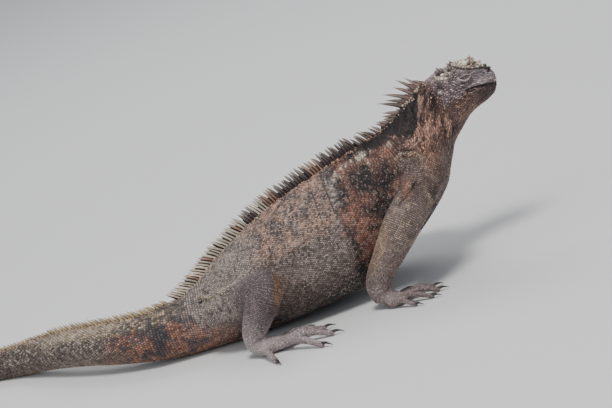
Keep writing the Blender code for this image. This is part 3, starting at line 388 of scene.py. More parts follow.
def digit_paths(limb, step):
    """The same for each finger or toe of the limb: from the palm over the knuckles to the tip."""

    def place(plan, z):
        return (plan[0] + limb.shift[0], limb.side * (abs(plan[1]) + limb.shift[1]), z)

    def between(a, b, t):
        return (a[0] + (b[0] - a[0]) * t, a[1] + (b[1] - a[1]) * t)

    root = limb.root
    for base, tip, arch, thick, _ in limb.digits:
        rows = (
            (place(root, 12.0), 2.1),
            (place(between(root, base, 0.55), 8.5), 1.75),
            (place(base, arch * 0.60), 1.28),
            (place(between(base, tip, 0.32), arch * 0.78), 0.96),
            (place(between(base, tip, 0.55), arch * 0.74), 1.04),
            (place(between(base, tip, 0.78), arch * 0.46), 0.88),
            (place(tip, thick * 0.56), 0.82),
        )
        rows = np.array([(*at, thick * share, thick * share) for at, share in rows]) * MM
        rows[:, 4] *= 0.92
        yield curve_through(rows, step)


def tube_rings(path, count):
    headings = np.gradient(path[:, :3], axis=0)
    rings = []
    for row, heading in zip(path, headings):
        along = Vector(heading).normalized()
        out = along.cross(Vector((1, 0, 0.35))).normalized()
        level = out.cross(along).normalized()
        turns = [math.tau * j / count for j in range(count)]
        middle = Vector(row[:3])
        rings.append(
            [middle + level * (row[3] * math.cos(a)) + out * (row[4] * math.sin(a)) for a in turns]
        )
    return rings, headings


def tube(path, count):
    rings, headings = tube_rings(path, count)
    first = Vector(path[0, :3]) - Vector(headings[0]).normalized() * path[0, 4] * 0.5
    last = Vector(path[-1, :3]) + Vector(headings[-1]).normalized() * path[-1, 4] * 0.6
    return loft("tube", rings, first, last)


def points_of(mesh, kind="co"):
    values = np.empty(len(mesh.vertices) * 3)
    mesh.vertices.foreach_get(kind, values)
    return values.reshape(-1, 3)


def set_points(mesh, points):
    mesh.vertices.foreach_set("co", points.ravel())
    mesh.update()


def distance_to_path(points, path):
    if len(path) == 1:
        return np.linalg.norm(points - path[0], axis=1)
    nearest = np.full(len(points), 1e9)
    for a, b in zip(path[:-1], path[1:]):
        along = b - a
        t = np.clip((points - a) @ along / (along @ along), 0, 1)
        nearest = np.minimum(nearest, np.linalg.norm(points - a - t[:, None] * along, axis=1))
    return nearest


def sculpt(mesh, forms):
    """Pushes the surface out along each line by its height, on both sides of the body."""
    points, normals = points_of(mesh), points_of(mesh, "normal")
    for _, path, reach, height in forms:
        for side in (-1, 1):
            line = np.array(path, float) * (1, side, 1) * MM
            if side == 1 and np.allclose(line[:, 1], 0):
                continue
            box = 3 * reach * MM
            inside = (points > line.min(axis=0) - box) & (points < line.max(axis=0) + box)
            index = np.nonzero(np.all(inside, axis=1))[0]
            if not len(index):
                continue
            far = distance_to_path(points[index], line)
            push = np.exp(-((far / (reach * MM)) ** 2)) * height * MM
            points[index] += normals[index] * push[:, None]
    set_points(mesh, points)


def eye_centre(side):
    return np.array((EYE_CENTRE[0], side * EYE_CENTRE[1], EYE_CENTRE[2])) * MM


def lid_ball(side):
    bpy.ops.mesh.primitive_ico_sphere_add(subdivisions=5, radius=LID_RADIUS * MM)
    ball = bpy.context.object
    ball.data.transform(Matrix.Translation(Vector(eye_centre(side))))
    return ball


def make_flesh():
    """Trunk, limbs, digits and the swellings of the lids, all run together into one surface."""
    ends = Vector(SNOUT_TIP) * MM, Vector(TAIL_TIP) * MM
    pieces = [loft("trunk", trunk_rings(RING_STEP, RING_POINTS), *ends)]
    for limb in LIMBS:
        pieces.append(tube(limb_path(limb, RING_STEP), LIMB_POINTS))
        pieces += [tube(path, DIGIT_POINTS) for path in digit_paths(limb, DIGIT_STEP)]
        if limb.kind == "leg":
            pieces.append(lid_ball(limb.side))
    shell = bmesh.new()
    for piece in pieces:
        shell.from_mesh(piece.data)
        bpy.data.objects.remove(piece)
    mesh = bpy.data.meshes.new("skin")
    shell.to_mesh(mesh)
    shell.free()
    obj = linked("skin", mesh)
    remesh = obj.modifiers.new("skin", "REMESH")
    remesh.mode = "VOXEL"
    remesh.voxel_size = VOXEL
    smooth = obj.modifiers.new("soften", "SMOOTH")
    smooth.factor = 0.5
    smooth.iterations = 5
    graph = bpy.context.evaluated_depsgraph_get()
    mesh = bpy.data.meshes.new_from_object(obj.evaluated_get(graph))
    obj.modifiers.clear()
    obj.data = mesh
    return obj


def refine(mesh, wanted, times):
    """Splits the faces whose corners are all in the wanted place, and rounds them again."""
    for _ in range(times):
        inside = wanted(points_of(mesh))
        shell = bmesh.new()
        shell.from_mesh(mesh)
        edges = [e for e in shell.edges if inside[e.verts[0].index] and inside[e.verts[1].index]]
        bmesh.ops.subdivide_edges(shell, edges=edges, cuts=1, use_grid_fill=True)
        shell.to_mesh(mesh)
        shell.free()
        relax(mesh, np.nonzero(wanted(points_of(mesh)))[0], 3)


def relax(mesh, index, times):
    """Moves the given points half way to the middle of their neighbours, a few times."""
    edges = np.empty(len(mesh.edges) * 2, int)
    mesh.edges.foreach_get("vertices", edges)
    ends = edges.reshape(-1, 2).T
    points = points_of(mesh)
    degree = np.bincount(edges, minlength=len(points)).astype(float)
    for _ in range(times):
        total = np.zeros_like(points)
        for k in range(3):
            for here, there in (ends, ends[::-1]):
                total[:, k] += np.bincount(here, points[there, k], len(points))
        mean = total / degree[:, None]
        points[index] += 0.5 * (mean[index] - points[index])
    set_points(mesh, points)


# ---------------------------------------------------------------- noise and places

# The step of the paths, where the tail begins, and how far off a limb or digit a point may be its own.
PATH_STEP = 2 * MM
TAIL_ROOT = -62 * MM
LIMB_ROOM = 30 * MM
DIGIT_ROOM = 8 * MM


def noise(points, size, seed):
    """Smooth noise from 0 to 1 with lumps of about the size, in the units of the points."""
    q = np.asarray(points) / size
    cell = np.floor(q).astype(np.int64)
    f = q - cell
    f = f * f * (3 - 2 * f)
    total = np.zeros(len(q))
    for corner in range(8):
        step = np.array([corner & 1, corner >> 1 & 1, corner >> 2 & 1])
        c = cell + step
        h = c[:, 0] * 73856093 ^ c[:, 1] * 19349663 ^ c[:, 2] * 83492791 ^ (seed * 2654435761)
        h = (h ^ (h >> 13)) * 1274126177 & 0xFFFFFFFF
        h = (h ^ (h >> 16)) * 2246822519 & 0xFFFFFFFF
        value = (h & 0xFFFFFF) / 0xFFFFFF
        weight = np.prod(np.where(step == 1, f, 1 - f), axis=1)
        total += value * weight
    return total


def lumps(points, size, seed):
    """Two layers of noise, stretched so that it uses all of 0 to 1."""
    value = 0.65 * noise(points, size, seed) + 0.35 * noise(points, size * 0.45, seed + 7)
    return np.clip((value - 0.5) * 1.9 + 0.5, 0, 1)


def ramp(value, low, high):
    """From 0 at low to 1 at high, softly."""
    t = np.clip((value - low) / (high - low), 0, 1)
    return t * t * (3 - 2 * t)


class Path:
    """A middle line with its sections, and the strip of the unwrap that is kept for it."""

    def __init__(self, kind, rings, v_low, v_high, half=0):
        rings = as_array(rings)
        quarter = rings.shape[1] // 4
        far, top, near, bottom = (rings[:, k * quarter] for k in range(4))
        up, side = (top - bottom) / 2, (far - near) / 2
        self.kind, self.v_low, self.v_high, self.half = kind, v_low, v_high, half
        self.middle = (top + bottom) / 2
        self.half_up, self.half_side = np.linalg.norm(up, axis=1), np.linalg.norm(side, axis=1)
        self.up, self.side = up / self.half_up[:, None], side / self.half_side[:, None]
        self.along = travelled(self.middle)
        self.tree = KDTree(len(self.middle))
        for i, place in enumerate(self.middle):
            self.tree.insert(place, i)
        self.tree.balance()

    def find(self, points):
        """The nearest section, and how far up and across from the middle, in half widths."""
        index = np.array([self.tree.find(p)[1] for p in points])
        offset = points - self.middle[index]
        rise = np.einsum("ij,ij->i", offset, self.up[index]) / self.half_up[index]
        across = np.einsum("ij,ij->i", offset, self.side[index]) / self.half_side[index]
        return index, rise, across


def ring_paths():
    """The paths of the trunk, the limbs and the digits, with the room of each on the unwrap."""
    paths = [Path("trunk", trunk_rings(PATH_STEP, 32), 0.01, 0.50)]
    paths[0].tail_start = float(paths[0].along[np.nonzero(paths[0].middle[:, 0] < TAIL_ROOT)[0][0]])
    for i, limb in enumerate(LIMBS):
        low = 0.51 + 0.08 * i
        rings, _ = tube_rings(limb_path(limb, PATH_STEP), 32)
        paths.append(Path(limb.kind, rings, low, low + 0.075))
    for i, limb in enumerate(LIMBS):
        for j, path in enumerate(digit_paths(limb, PATH_STEP)):
            low = 0.84 + 0.0155 * (5 * (i % 2) + j)
            rings, _ = tube_rings(path, 16)
            paths.append(Path("digit", rings, low, low + 0.013, i // 2))
    return paths


class Places:
    """Where points lie on the body: up its side, along tail and limbs, and on the unwrap."""

    def __init__(self, points, paths):
        count = len(points)
        best = np.full(count, 1e9)
        self.uv = np.zeros((count, 2))
        self.ratio = {kind: np.full(count, 9.0) for kind in ("trunk", "arm", "leg")}
        self.limb_along, self.digit = np.zeros(count), np.zeros(count)
        for path in paths:
            on_trunk, on_digit = path.kind == "trunk", path.kind == "digit"
            room = DIGIT_ROOM if on_digit else LIMB_ROOM
            low, high = path.middle.min(axis=0) - room, path.middle.max(axis=0) + room
            inside = np.all((points > low) & (points < high), axis=1) | on_trunk
            near = np.nonzero(inside)[0]
            if not len(near):
                continue
            index, rise, across = path.find(points[near])
            ratio = np.hypot(rise, across)
            share = path.along[index] / path.along[-1]
            if on_trunk:
                length = path.along[-1] - path.tail_start
                self.tail = (path.along[index] - path.tail_start) / length
                self.trunk_rise = rise
            if not on_digit:
                known = self.ratio[path.kind]
                closer = ratio < known[near]
                known[near] = np.minimum(known[near], ratio)
                if not on_trunk:
                    self.limb_along[near] = np.where(closer, share, self.limb_along[near])
            better = ratio < best[near]
            chosen = near[better]
            best[chosen] = ratio[better]
            self.digit[chosen] = 1.0 if on_digit else 0.0
            turn = np.arctan2(across[better], rise[better]) / math.tau + 0.5
            u = 0.03 + 0.45 * share[better] + 0.49 * path.half if on_digit else 0.01 + 0.98 * share[better]
            self.uv[chosen] = np.stack([u, path.v_low + (path.v_high - path.v_low) * turn], axis=1)
        on_limb = np.minimum(self.ratio["arm"], self.ratio["leg"]) < self.ratio["trunk"]
        self.tail = np.where(on_limb, -1.0, self.tail)


# ---------------------------------------------------------------- markings


def tone(r, g, b):
    """A colour given as on a screen, from 0 to 255, as light."""
    c = np.array([r, g, b]) / 255
    return np.where(c < 0.04045, c / 12.92, ((c + 0.055) / 1.055) ** 2.4)


TONES = {
    "flank": tone(130, 114, 108),
    "belly": tone(80, 68, 67),
    "tan": tone(204, 160, 136),
    "blue": tone(78, 76, 82),
    "rust": tone(168, 116, 98),
    "char": tone(32, 23, 27),
    "black": tone(28, 21, 23),
    "cream": tone(226, 206, 182),
    "neck": tone(174, 135, 119),
    "streak": tone(66, 46, 46),
    "head": tone(162, 142, 144),
    "snout": tone(180, 166, 170),
    "jaw": tone(120, 94, 90),
    "jaw orange": tone(172, 130, 106),
    "throat": tone(106, 80, 77),
    "lips": tone(78, 62, 65),
    "labial": tone(198, 182, 180),
    # Near-black: painted shade in the mouth, creases, wrinkles and under the brow, and dark mottling on the
    # head.
    "crust": tone(250, 234, 212),
    "pit": tone(26, 20, 22),
    "rump": tone(150, 138, 131),
    "tail rust": tone(162, 116, 97),
    "tail grey": tone(116, 100, 90),
    "buff": tone(160, 132, 104),
    "arm": tone(140, 121, 114),
    "arm edge": tone(168, 140, 112),
    "shoulder": tone(106, 89, 84),
    "front": tone(98, 80, 76),
    "hand": tone(154, 136, 134),
    "leg": tone(117, 103, 104),
    "foot": tone(184, 168, 167),
    "knee": tone(176, 132, 98),
    "crease": tone(196, 178, 148),
    # Near-black: the dark tubercle over the nostril, and painted shade in the nostril's opening.
    "horn": tone(30, 22, 24),
    "salt": tone(206, 190, 178),
    "fawn": tone(180, 134, 112),
}


def mix(base, other, share):
    return base + (np.asarray(other) - base) * np.asarray(share)[:, None]


class Paint:
    """The colour of each point and the share of pale scales there, laid on coat over coat."""

    def __init__(self, name, count, pale=0.30):
        self.colour = np.tile(TONES[name], (count, 1))
        self.pale = pale * np.ones(count)

    def lay(self, other, share):
        over = other.colour if isinstance(other, Paint) else TONES[other]
        self.colour = mix(self.colour, over, share)


def spot(x, z, spots):
    """How much a point is in any of the soft round spots, each a place and a reach."""
    share = np.zeros(len(x))
    for sx, sz, reach in spots:
        share = np.maximum(share, np.exp(-((x - sx) ** 2 + (z - sz) ** 2) / reach**2))
    return share


def oval(x, z, place, size):
    """One soft oval spot: its place and its half length and height."""
    return np.exp(-(((x - place[0]) / size[0]) ** 2 + ((z - place[1]) / size[1]) ** 2))


# Spots of the markings: how far forwards, how high and how wide, in millimetres.
RUST_SPOTS = (
    (121, 82, 14), (119, 101, 11), (124, 62, 13), (165, 133, 11), (175, 102, 14), (117, 131, 6),
    (108, 92, 8), (140, 66, 9), (150, 126, 7), (133, 104, 7),
)
DARK_SPOTS = (
    (133, 118, 13), (130, 90, 7), (106, 63, 9), (157, 116, 13), (146, 92, 12), (112, 112, 8),
    (128, 72, 5), (150, 72, 10),
)
CREAM_SPOTS = (
    (143, 137, 3.8), (138, 136.5, 3.0), (131, 135, 1.8), (125, 133.5, 1.6), (119, 131.5, 1.9),
    (113, 128.5, 2.4), (108, 125.5, 2.4), (104, 121, 2.2), (101.5, 116, 1.9), (100, 111, 1.5),
    (99.5, 106, 1.2), (171, 140, 2.3), (166, 138.5, 1.5), (152, 138, 1.6), (147, 131, 1.6),
)
BLUE_SPOTS = (
    (79, 113, 8), (70, 108, 8), (37, 101, 8), (36, 118, 7), (60, 121, 6), (93, 116, 7), (15, 99, 6),
    (52, 100, 6), (88, 102, 7),
)
FAWN_SPOTS = ((204, 122, 15), (209, 138, 11), (218, 150, 6))
SHADE_SPOTS = ((252.5, 186, 2.8), (239, 177.5, 3.0), (250, 178, 2.0))
# The hands lie in front of here, the feet behind.
HANDS_FROM = 70
# Lines painted on both sides: their course, reach and tone, and how strong they are.
PAINTED = (
    # Painted shade in the slit of the mouth and in the folds at its corners.
    ((*MOUTH, MOUTH_FRONT[1]), 1.5, "pit", 1.0),
    (MOUTH_CORNER, 0.9, "pit", 0.85),
    # Painted shade in the nostril's opening.
    ((NOSTRIL,), 2.2, "horn", 1.0),
    # Painted shade under the edge of the brow.
    ([(x, y, z + 0.4) for x, y, z in BROW_SHADE], 1.3, "pit", 0.9),
    (((290.5, 6.0, 177.5), (291, 4.5, 178)), 2.6, "horn", 0.85),
    (
        ((268, 19.5, 166.6), (276, 17.4, 165.2), (284, 14.6, 163.2), (291, 9.8, 161.6), (296, 3, 160.6)),
        2.0,
        "labial",
        0.75,
    ),
    (((270, 17.4, 157.6), (279, 14.5, 155.6), (288, 10, 153.6), (294, 4, 153.4)), 2.4, "lips", 0.7),
    ((EAR,), 2.6, "labial", 0.9),
    (
        ((239.8, 24, 173.4), (236, 24, 174.4), (233, 24, 171), (234.5, 24, 167), (238.5, 24, 167)),
        1.1,
        "pit",
        0.85,
    ),
    # Painted shade in the crease where the arm leaves the flank.
    (ARM_CREASE, 2.0, "pit", 0.9),
    (((176, 66, 100), (168, 72, 98)), 4.5, "rust", 0.75),
    (
        ((171, 50, 126.5), (179, 48, 130), (193, 42, 125.6), (199, 40, 118), (198.5, 44, 106)),
        1.2,
        "crease",
        0.6,
    ),
    # Painted shade in the fold beside the pale shoulder arc.
    (((169, 50, 129), (179, 48, 132.5), (195, 42, 128), (202, 40, 119), (201.5, 44, 106)), 1.3, "pit", 0.6),
    # Painted shade in the crease over the thigh.
    (THIGH_CREASE, 1.5, "pit", 0.9),
    (THIGH_EDGE, 1.7, "crease", 1.0),
    (((-52, 40, 50), (-33, 54, 60)), 1.3, "crease", 0.7),
    # Painted shade in the wrinkles of the cheeks and the snout.
    (((268, 21, 172), (262, 22, 170.5), (256, 22.5, 172)), 0.9, "pit", 0.6),
    (((272, 19, 169), (262, 21.5, 166.5), (252, 23, 168)), 0.9, "pit", 0.6),
    (((258, 22, 160), (252, 23, 163), (246, 24, 168)), 0.9, "pit", 0.6),
    (((256, 22, 155), (250, 23, 158), (245, 24, 163)), 0.9, "pit", 0.5),
    (((276, 16, 176), (283, 13.5, 174), (288, 11.5, 169)), 0.8, "pit", 0.4),
    (((277, 15.5, 171.5), (284, 13.5, 169.5)), 0.8, "pit", 0.4),
)
# The lower edge of the black band under the nape, the edge of the brows seen from above, and the
# lower edge of the crust on the crown.
BAND_X = (130, 148.7, 161.5, 173.7, 183.6, 193.5, 202.7, 208.8, 213, 219)
BAND_Z = (134, 134.8, 141, 144.5, 143, 141, 143.5, 156.5, 168.5, 180)
BROW_X = (249, 260, 271, 281, 290)
BROW_Y = (18.5, 18.0, 16.5, 13.0, 8.5)
CRUST_X = (254, 259, 267.4, 272.8, 279.5, 286.4)
CRUST_Z = (188.5, 187.2, 183.6, 181.2, 179.3, 177.2)
# The run of the neck's wrinkles, across and along them, and the points that they turn about.
WRINKLES = (0.94, 0.34)
WRINKLES_AT = (200, 140)
# The temple's cluster of pale cones, and its half length and height.
TEMPLE = (245, 184)
TEMPLE_SIZE = (7.0, 4.5)


def on_crown(x, y, z):
    """The crusted top of the head, between the brows."""
    between = ramp(np.interp(x, BROW_X, BROW_Y) - y, -0.8, 0.8)
    high = ramp(z - np.interp(x, CRUST_X, CRUST_Z), -0.6, 0.8)
    return between * high * ramp(x, 253.5, 255.5) * ramp(-x, -289.5, -287)


def streak_places(x, y, z):
    """Places drawn out along the wrinkles that run down the neck."""
    (far, near), (x0, z0) = WRINKLES, WRINKLES_AT
    across, along = far * (x - x0) - near * (z - z0), near * (x - x0) + far * (z - z0)
    return np.stack([across * 2.6, y * 1.6, along * 0.30], axis=1)


def ground(points, places):
    """What the rules of the markings look at, both sides of the body alike.

    The limits in their ramps are millimetres forwards (x, wx) and up (z, wz), or shares: rise goes
    from -1 under the belly to 1 on the back, tail from 0 to 1 along the tail, share from 0 to 1 down
    a limb. Noise also goes from 0 to 1; its lumps have a size in millimetres and a seed.
    """
    x, y, z = points.T * 1000
    y = np.abs(y)
    mirror = np.stack([x, y, z], axis=1)
    big, mid, fine = lumps(mirror, 16, 3), lumps(mirror, 7, 5), lumps(mirror, 2.8, 9)
    return SimpleNamespace(
        x=x, y=y, z=z, mirror=mirror, big=big, mid=mid, fine=fine, count=len(x),
        # Places shifted by noise, for ragged edges.
        wx=x + 8 * (mid - 0.5) + 3 * (fine - 0.5),
        wz=z + 8 * (lumps(mirror, 8, 21) - 0.5) + 3 * (lumps(mirror, 2.5, 23) - 0.5),
        rise=places.trunk_rise, tail=places.tail, share=places.limb_along,
        places=places,
    )


def paint_flank(coat, g):
    """Brown below, charcoal at the bottom partly as painted shade, pinkish tan with blue-grey blotches above,
    paler on the rump.
    """
    coat.lay("belly", ramp(-g.rise, 0.0, 0.8))
    # Charcoal along the bottom of the belly: partly its own colour, partly painted shade under the body.
    coat.lay("char", 0.7 * ramp(-g.rise, 0.45, 0.85))
    tan = ramp(g.rise, 0.22, 0.55) * ramp(g.wx, -30, 0) * ramp(-g.wx, -108, -92)
    tan = tan * (0.42 + 0.80 * ramp(g.mid, 0.22, 0.55))
    coat.lay("tan", np.clip(tan, 0, 1))
    blue = spot(g.wx, g.wz, BLUE_SPOTS) * ramp(g.rise, 0.15, 0.4)
    blue = np.maximum(blue, ramp(lumps(g.mirror, 9, 27), 0.60, 0.78) * np.clip(tan, 0, 1))
    coat.lay("blue", 0.85 * blue)
    speckle = lumps(g.mirror, 1.9, 101)
    coat.lay("char", 0.62 * ramp(speckle, 0.58, 0.76) * ramp(g.rise, -0.1, 0.3))
    dim = ramp(g.wx, 88, 104) * ramp(g.rise, 0.3, 0.6) * ramp(-g.wx, -150, -140)
    coat.lay("blue", 0.75 * dim)
    rump = ramp(-g.x, -24, 10) * ramp(g.rise, -0.3, 0.2)
    coat.lay("rump", rump)
    coat.lay("blue", 0.55 * rump * ramp(g.mid, 0.62, 0.85))
    coat.pale = coat.pale + 0.25 * rump + 0.10 * tan


def paint_chest(coat, g):
    """Charcoal with rust behind the shoulder, grey-brown in front of it."""
    edge = 100 + 8 * ramp(g.z, 90, 120) + 5 * (g.mid - 0.5)
    chest = ramp(g.wx - edge, -4, 5) * ramp(g.rise, -0.85, -0.5)
    mottled = Paint("char", g.count)
    mottled.lay("rust", 0.50 * ramp(g.mid, 0.45, 0.75))
    mottled.lay("rust", spot(g.wx, g.wz, RUST_SPOTS) * (0.5 + 0.5 * g.fine))
    mottled.lay("char", spot(g.wx, g.wz, DARK_SPOTS) * (0.75 + 0.25 * g.mid))
    coat.lay(mottled, chest)
    coat.pale = coat.pale - 0.12 * chest
    coat.lay("front", ramp(g.wx, 190, 200) * ramp(-g.wz, -132, -118))


def paint_neck(coat, g):
    """Rusty, with dark streaks that run down it."""
    neck = ramp(g.wx, 176, 192) * ramp(g.wz, 112, 128)
    grain = streak_places(g.x, g.y, g.z)
    lines, thin = lumps(grain, 8, 31), lumps(grain * (1.8, 1.8, 1.2), 6, 33)
    fawn = spot(g.x, g.z, FAWN_SPOTS)
    streaked = Paint("neck", g.count)
    streaked.lay("streak", 0.85 * (ramp(lines, 0.47, 0.66) * (1 - 0.80 * fawn)))
    streaked.lay("streak", 0.75 * ramp(g.x + 0.4 * (g.z - 150), 214, 232) * ramp(g.z, 138, 152))
    streaked.lay("char", 0.75 * ramp(thin, 0.56, 0.72))
    streaked.lay("tan", 0.55 * ramp(-thin, -0.34, -0.16))
    streaked.lay("fawn", 0.65 * fawn * ramp(-thin, -0.72, -0.45))
    coat.lay(streaked, neck)
    coat.lay("fawn", 0.65 * fawn * (1 - neck) * (0.5 + 0.5 * g.fine))
    coat.pale = coat.pale - 0.15 * neck


def paint_head(coat, g):
    """Lilac-grey, with a pale snout, an orange jaw and a pale crust on crown and temples."""
    x, y, z = g.x, g.y, g.z
    head = ramp(x + 0.25 * (z - 150) + 4 * (g.mid - 0.5), 233, 243)
    face = Paint("head", g.count)
    face.lay("pit", 0.35 * ramp(g.mid, 0.5, 0.9))
    face.lay("snout", ramp(x, 272, 284) * ramp(z, 160, 166))
    jaw = ramp(-z + 0.1 * (x - 250), -163, -155)
    face.lay("jaw", jaw)
    orange = ramp(-z, -166, -158) * ramp(-x, -276, -262) * ramp(z, 126, 138) * ramp(x, 240, 248)
    face.lay("jaw orange", 0.85 * orange * ramp(lumps(g.mirror, 1.7, 103), 0.50, 0.68))
    face.lay("lips", jaw * ramp(x, 270, 280) * 0.8)
    face.lay("throat", ramp(-g.rise, 0.55, 0.9))
    crown = on_crown(x, y, z)
    temple = oval(x, z, TEMPLE, TEMPLE_SIZE) * (y > 5)
    crust = np.maximum(crown, 1.9 * temple * ramp(lumps(g.mirror, 4, 61), 0.22, 0.40))
    face.lay("crust", np.clip(crust, 0, 1) * (0.75 + 0.25 * g.fine))
    face.lay("pit", 0.95 * np.clip(temple * 1.7, 0, 1) * ramp(lumps(g.mirror, 3.0, 63), 0.56, 0.66))
    face.lay("neck", 0.65 * crown * ramp(lumps(g.mirror, 3.2, 65), 0.60, 0.72))
    face.lay("streak", 0.75 * crown * ramp(lumps(g.mirror, 2.6, 67), 0.68, 0.78))
    face.lay("snout", 0.45 * oval(x, z, (EYE_CENTRE[0], EYE_CENTRE[2]), (8, 6)) * (y > 8))
    # Painted shade under the brow, in the temple and behind the cheek, and the dark tubercle in front of the
    # brow.
    face.lay("pit", 0.75 * spot(x, z, SHADE_SPOTS) * (y > 7))
    face.lay("horn", 0.95 * spot(x, z, ((290.4, 177.2, 2.4),)) * (y > 2) * (y < 9.5))
    coat.lay(face, head)
    return head


def paint_nape(coat, g):
    """The black band under the crest, from the nape to over the shoulder."""
    low = np.interp(g.x, BAND_X, BAND_Z) + 3 * (g.mid - 0.5) + 2 * (g.fine - 0.5)
    band = ramp(g.z - low, -1.5, 1.5) * ramp(g.x, 134, 142) * ramp(-g.x, -219, -213)
    coat.lay("black", 0.95 * band)
    coat.pale = coat.pale * (1 - 0.9 * band)


def paint_tail(coat, g):
    """Rust and buff behind the thigh and on the tail's root, grey further out."""
    x, rise, tail, mid = g.x, g.rise, g.tail, g.mid
    vent = ramp(-x, 22, 44) * ramp(-rise, -0.05, 0.35)
    coat.lay("tail rust", 0.85 * vent * (0.4 + 0.6 * mid))
    on_tail = ramp(tail, -0.03, 0.015)
    root = ramp(-tail - 0.06 * (mid - 0.5), -0.17, -0.10)
    rooted, grey = Paint("tail rust", g.count), Paint("tail grey", g.count)
    rooted.lay("blue", 0.85 * ramp(g.big + 0.35 * rise, 0.52, 0.72))
    grey.lay("blue", 0.40 * ramp(mid, 0.6, 0.9))
    grey.lay("blue", 0.6 * ramp(tail, 0.28, 0.7))
    grey.lay(rooted, root)
    coat.lay(grey, on_tail)
    ridge = ramp(rise, 0.50, 0.70) * ramp(tail, -0.03, 0.03) * ramp(-tail, -0.42, -0.25)
    coat.lay("crease", 0.75 * ridge * (0.35 + 0.65 * ramp(g.fine, 0.3, 0.6)))
    coat.lay("buff", 0.6 * (ramp(-rise, 0.70, 0.92) * ramp(-x, 10, 50)))
    coat.pale = coat.pale * (1 - 0.8 * on_tail * root) - 0.08 * on_tail
    coat.lay("blue", 0.8 * on_tail * root * ramp(lumps(g.mirror, 3.6, 105), 0.50, 0.60))
    coat.lay("streak", 0.45 * ramp(tail, 0.30, 0.55))


def paint_limbs(coat, g):
    """Arms and legs, each blended with the trunk where it leaves it, and the hands and feet."""
    x, y, z, share, mid = g.x, g.y, g.z, g.share, g.mid
    ratio, digit = g.places.ratio, g.places.digit
    arm = ramp(ratio["trunk"] - ratio["arm"], -0.06, 0.10)
    arm = arm * ramp(share + 0.10 * (mid - 0.5), 0.16, 0.27)
    skin = Paint("shoulder", g.count)
    skin.lay("arm", ramp(share, 0.28, 0.40))
    skin.lay("char", 0.30 * ramp(g.big, 0.55, 0.85))
    skin.lay("crease", 0.35 * ramp(mid, 0.62, 0.9) * ramp(-share, -0.7, -0.6))
    behind = ramp(-(x - 0.85 * z), -85, -77) * ramp(share, 0.45, 0.6)
    skin.lay("arm edge", 0.55 * behind * ramp(-share, -0.9, -0.8))
    skin.lay("hand", ramp(share, 0.78, 0.95))
    coat.lay(skin, arm)
    patch = np.exp(-(((x - 184) / 13) ** 2 + ((z - 119) / 12) ** 2) ** 2) * (y > 40)
    coat.lay("shoulder", 0.9 * patch)
    leg = ramp(ratio["trunk"] - ratio["leg"], -0.06, 0.08)
    leg = leg * np.maximum(ramp(share + 0.16 * (mid - 0.5), 0.26, 0.46), ramp(x - 0.3 * (z - 50), -2, 10))
    skin = Paint("leg", g.count)
    skin.lay("foot", ramp(share, 0.72, 0.92))
    skin.lay("char", 0.25 * ramp(g.big, 0.6, 0.9))
    knee = ramp(x - 0.35 * (z - 50), 9, 17) * ramp(share, 0.35, 0.5) * ramp(-share, -0.8, -0.6)
    skin.lay("knee", 0.85 * knee * (0.5 + 0.5 * g.fine))
    coat.lay(skin, leg)
    ends = Paint("foot", g.count)
    ends.lay("hand", x > HANDS_FROM)
    coat.lay(ends, ramp(digit, 0.4, 0.6))
    limbs = np.maximum(np.maximum(arm, leg), digit)
    coat.pale = coat.pale * (1 - 0.60 * limbs)
    coat.pale = coat.pale * (1 - 0.75 * np.maximum(leg, digit))
    return limbs


def colours(points, places, painted):
    """The colour of each point and how often the scales there are pale. Points in metres."""
    g = ground(points, places)
    coat = Paint("flank", g.count)
    paint_flank(coat, g)
    paint_chest(coat, g)
    paint_neck(coat, g)
    head = paint_head(coat, g)
    paint_nape(coat, g)
    paint_tail(coat, g)
    limbs = paint_limbs(coat, g)
    # Cream drops over the shoulder and down behind it.
    cream = spot(g.x + 0.30 * (g.wx - g.x), g.z + 0.30 * (g.wz - g.z), CREAM_SPOTS) ** 1.6 * (1 - limbs)
    flecks = 0.45 + 0.9 * ramp(lumps(g.mirror, 2.2, 107), 0.35, 0.6)
    coat.lay("cream", np.clip(1.15 * cream * flecks, 0, 1))
    coat.pale = coat.pale * (1 - 0.6 * head) + 0.3 * cream
    for line, reach, name, strength in painted:
        coat.lay(name, strength * np.exp(-((distance_to_path(g.mirror, line) / reach) ** 2)))
    shade = 0.80 + 0.40 * lumps(g.mirror, 11, 41)
    return coat.colour * shade[:, None], np.clip(coat.pale, 0.02, 1)


# ---------------------------------------------------------------- scales


def frame_on(normals, ahead):
    """Three directions at each root: along the lie, across it and out."""
    normals = normals / np.linalg.norm(normals, axis=1)[:, None]
    along = ahead - normals * np.einsum("ij,ij->i", ahead, normals)[:, None]
    lost = np.linalg.norm(along, axis=1) < 1e-6
    along[lost] = np.cross(normals[lost], (0.3, 1, 0.2))
    along /= np.linalg.norm(along, axis=1)[:, None]
    return along, np.cross(normals, along), normals


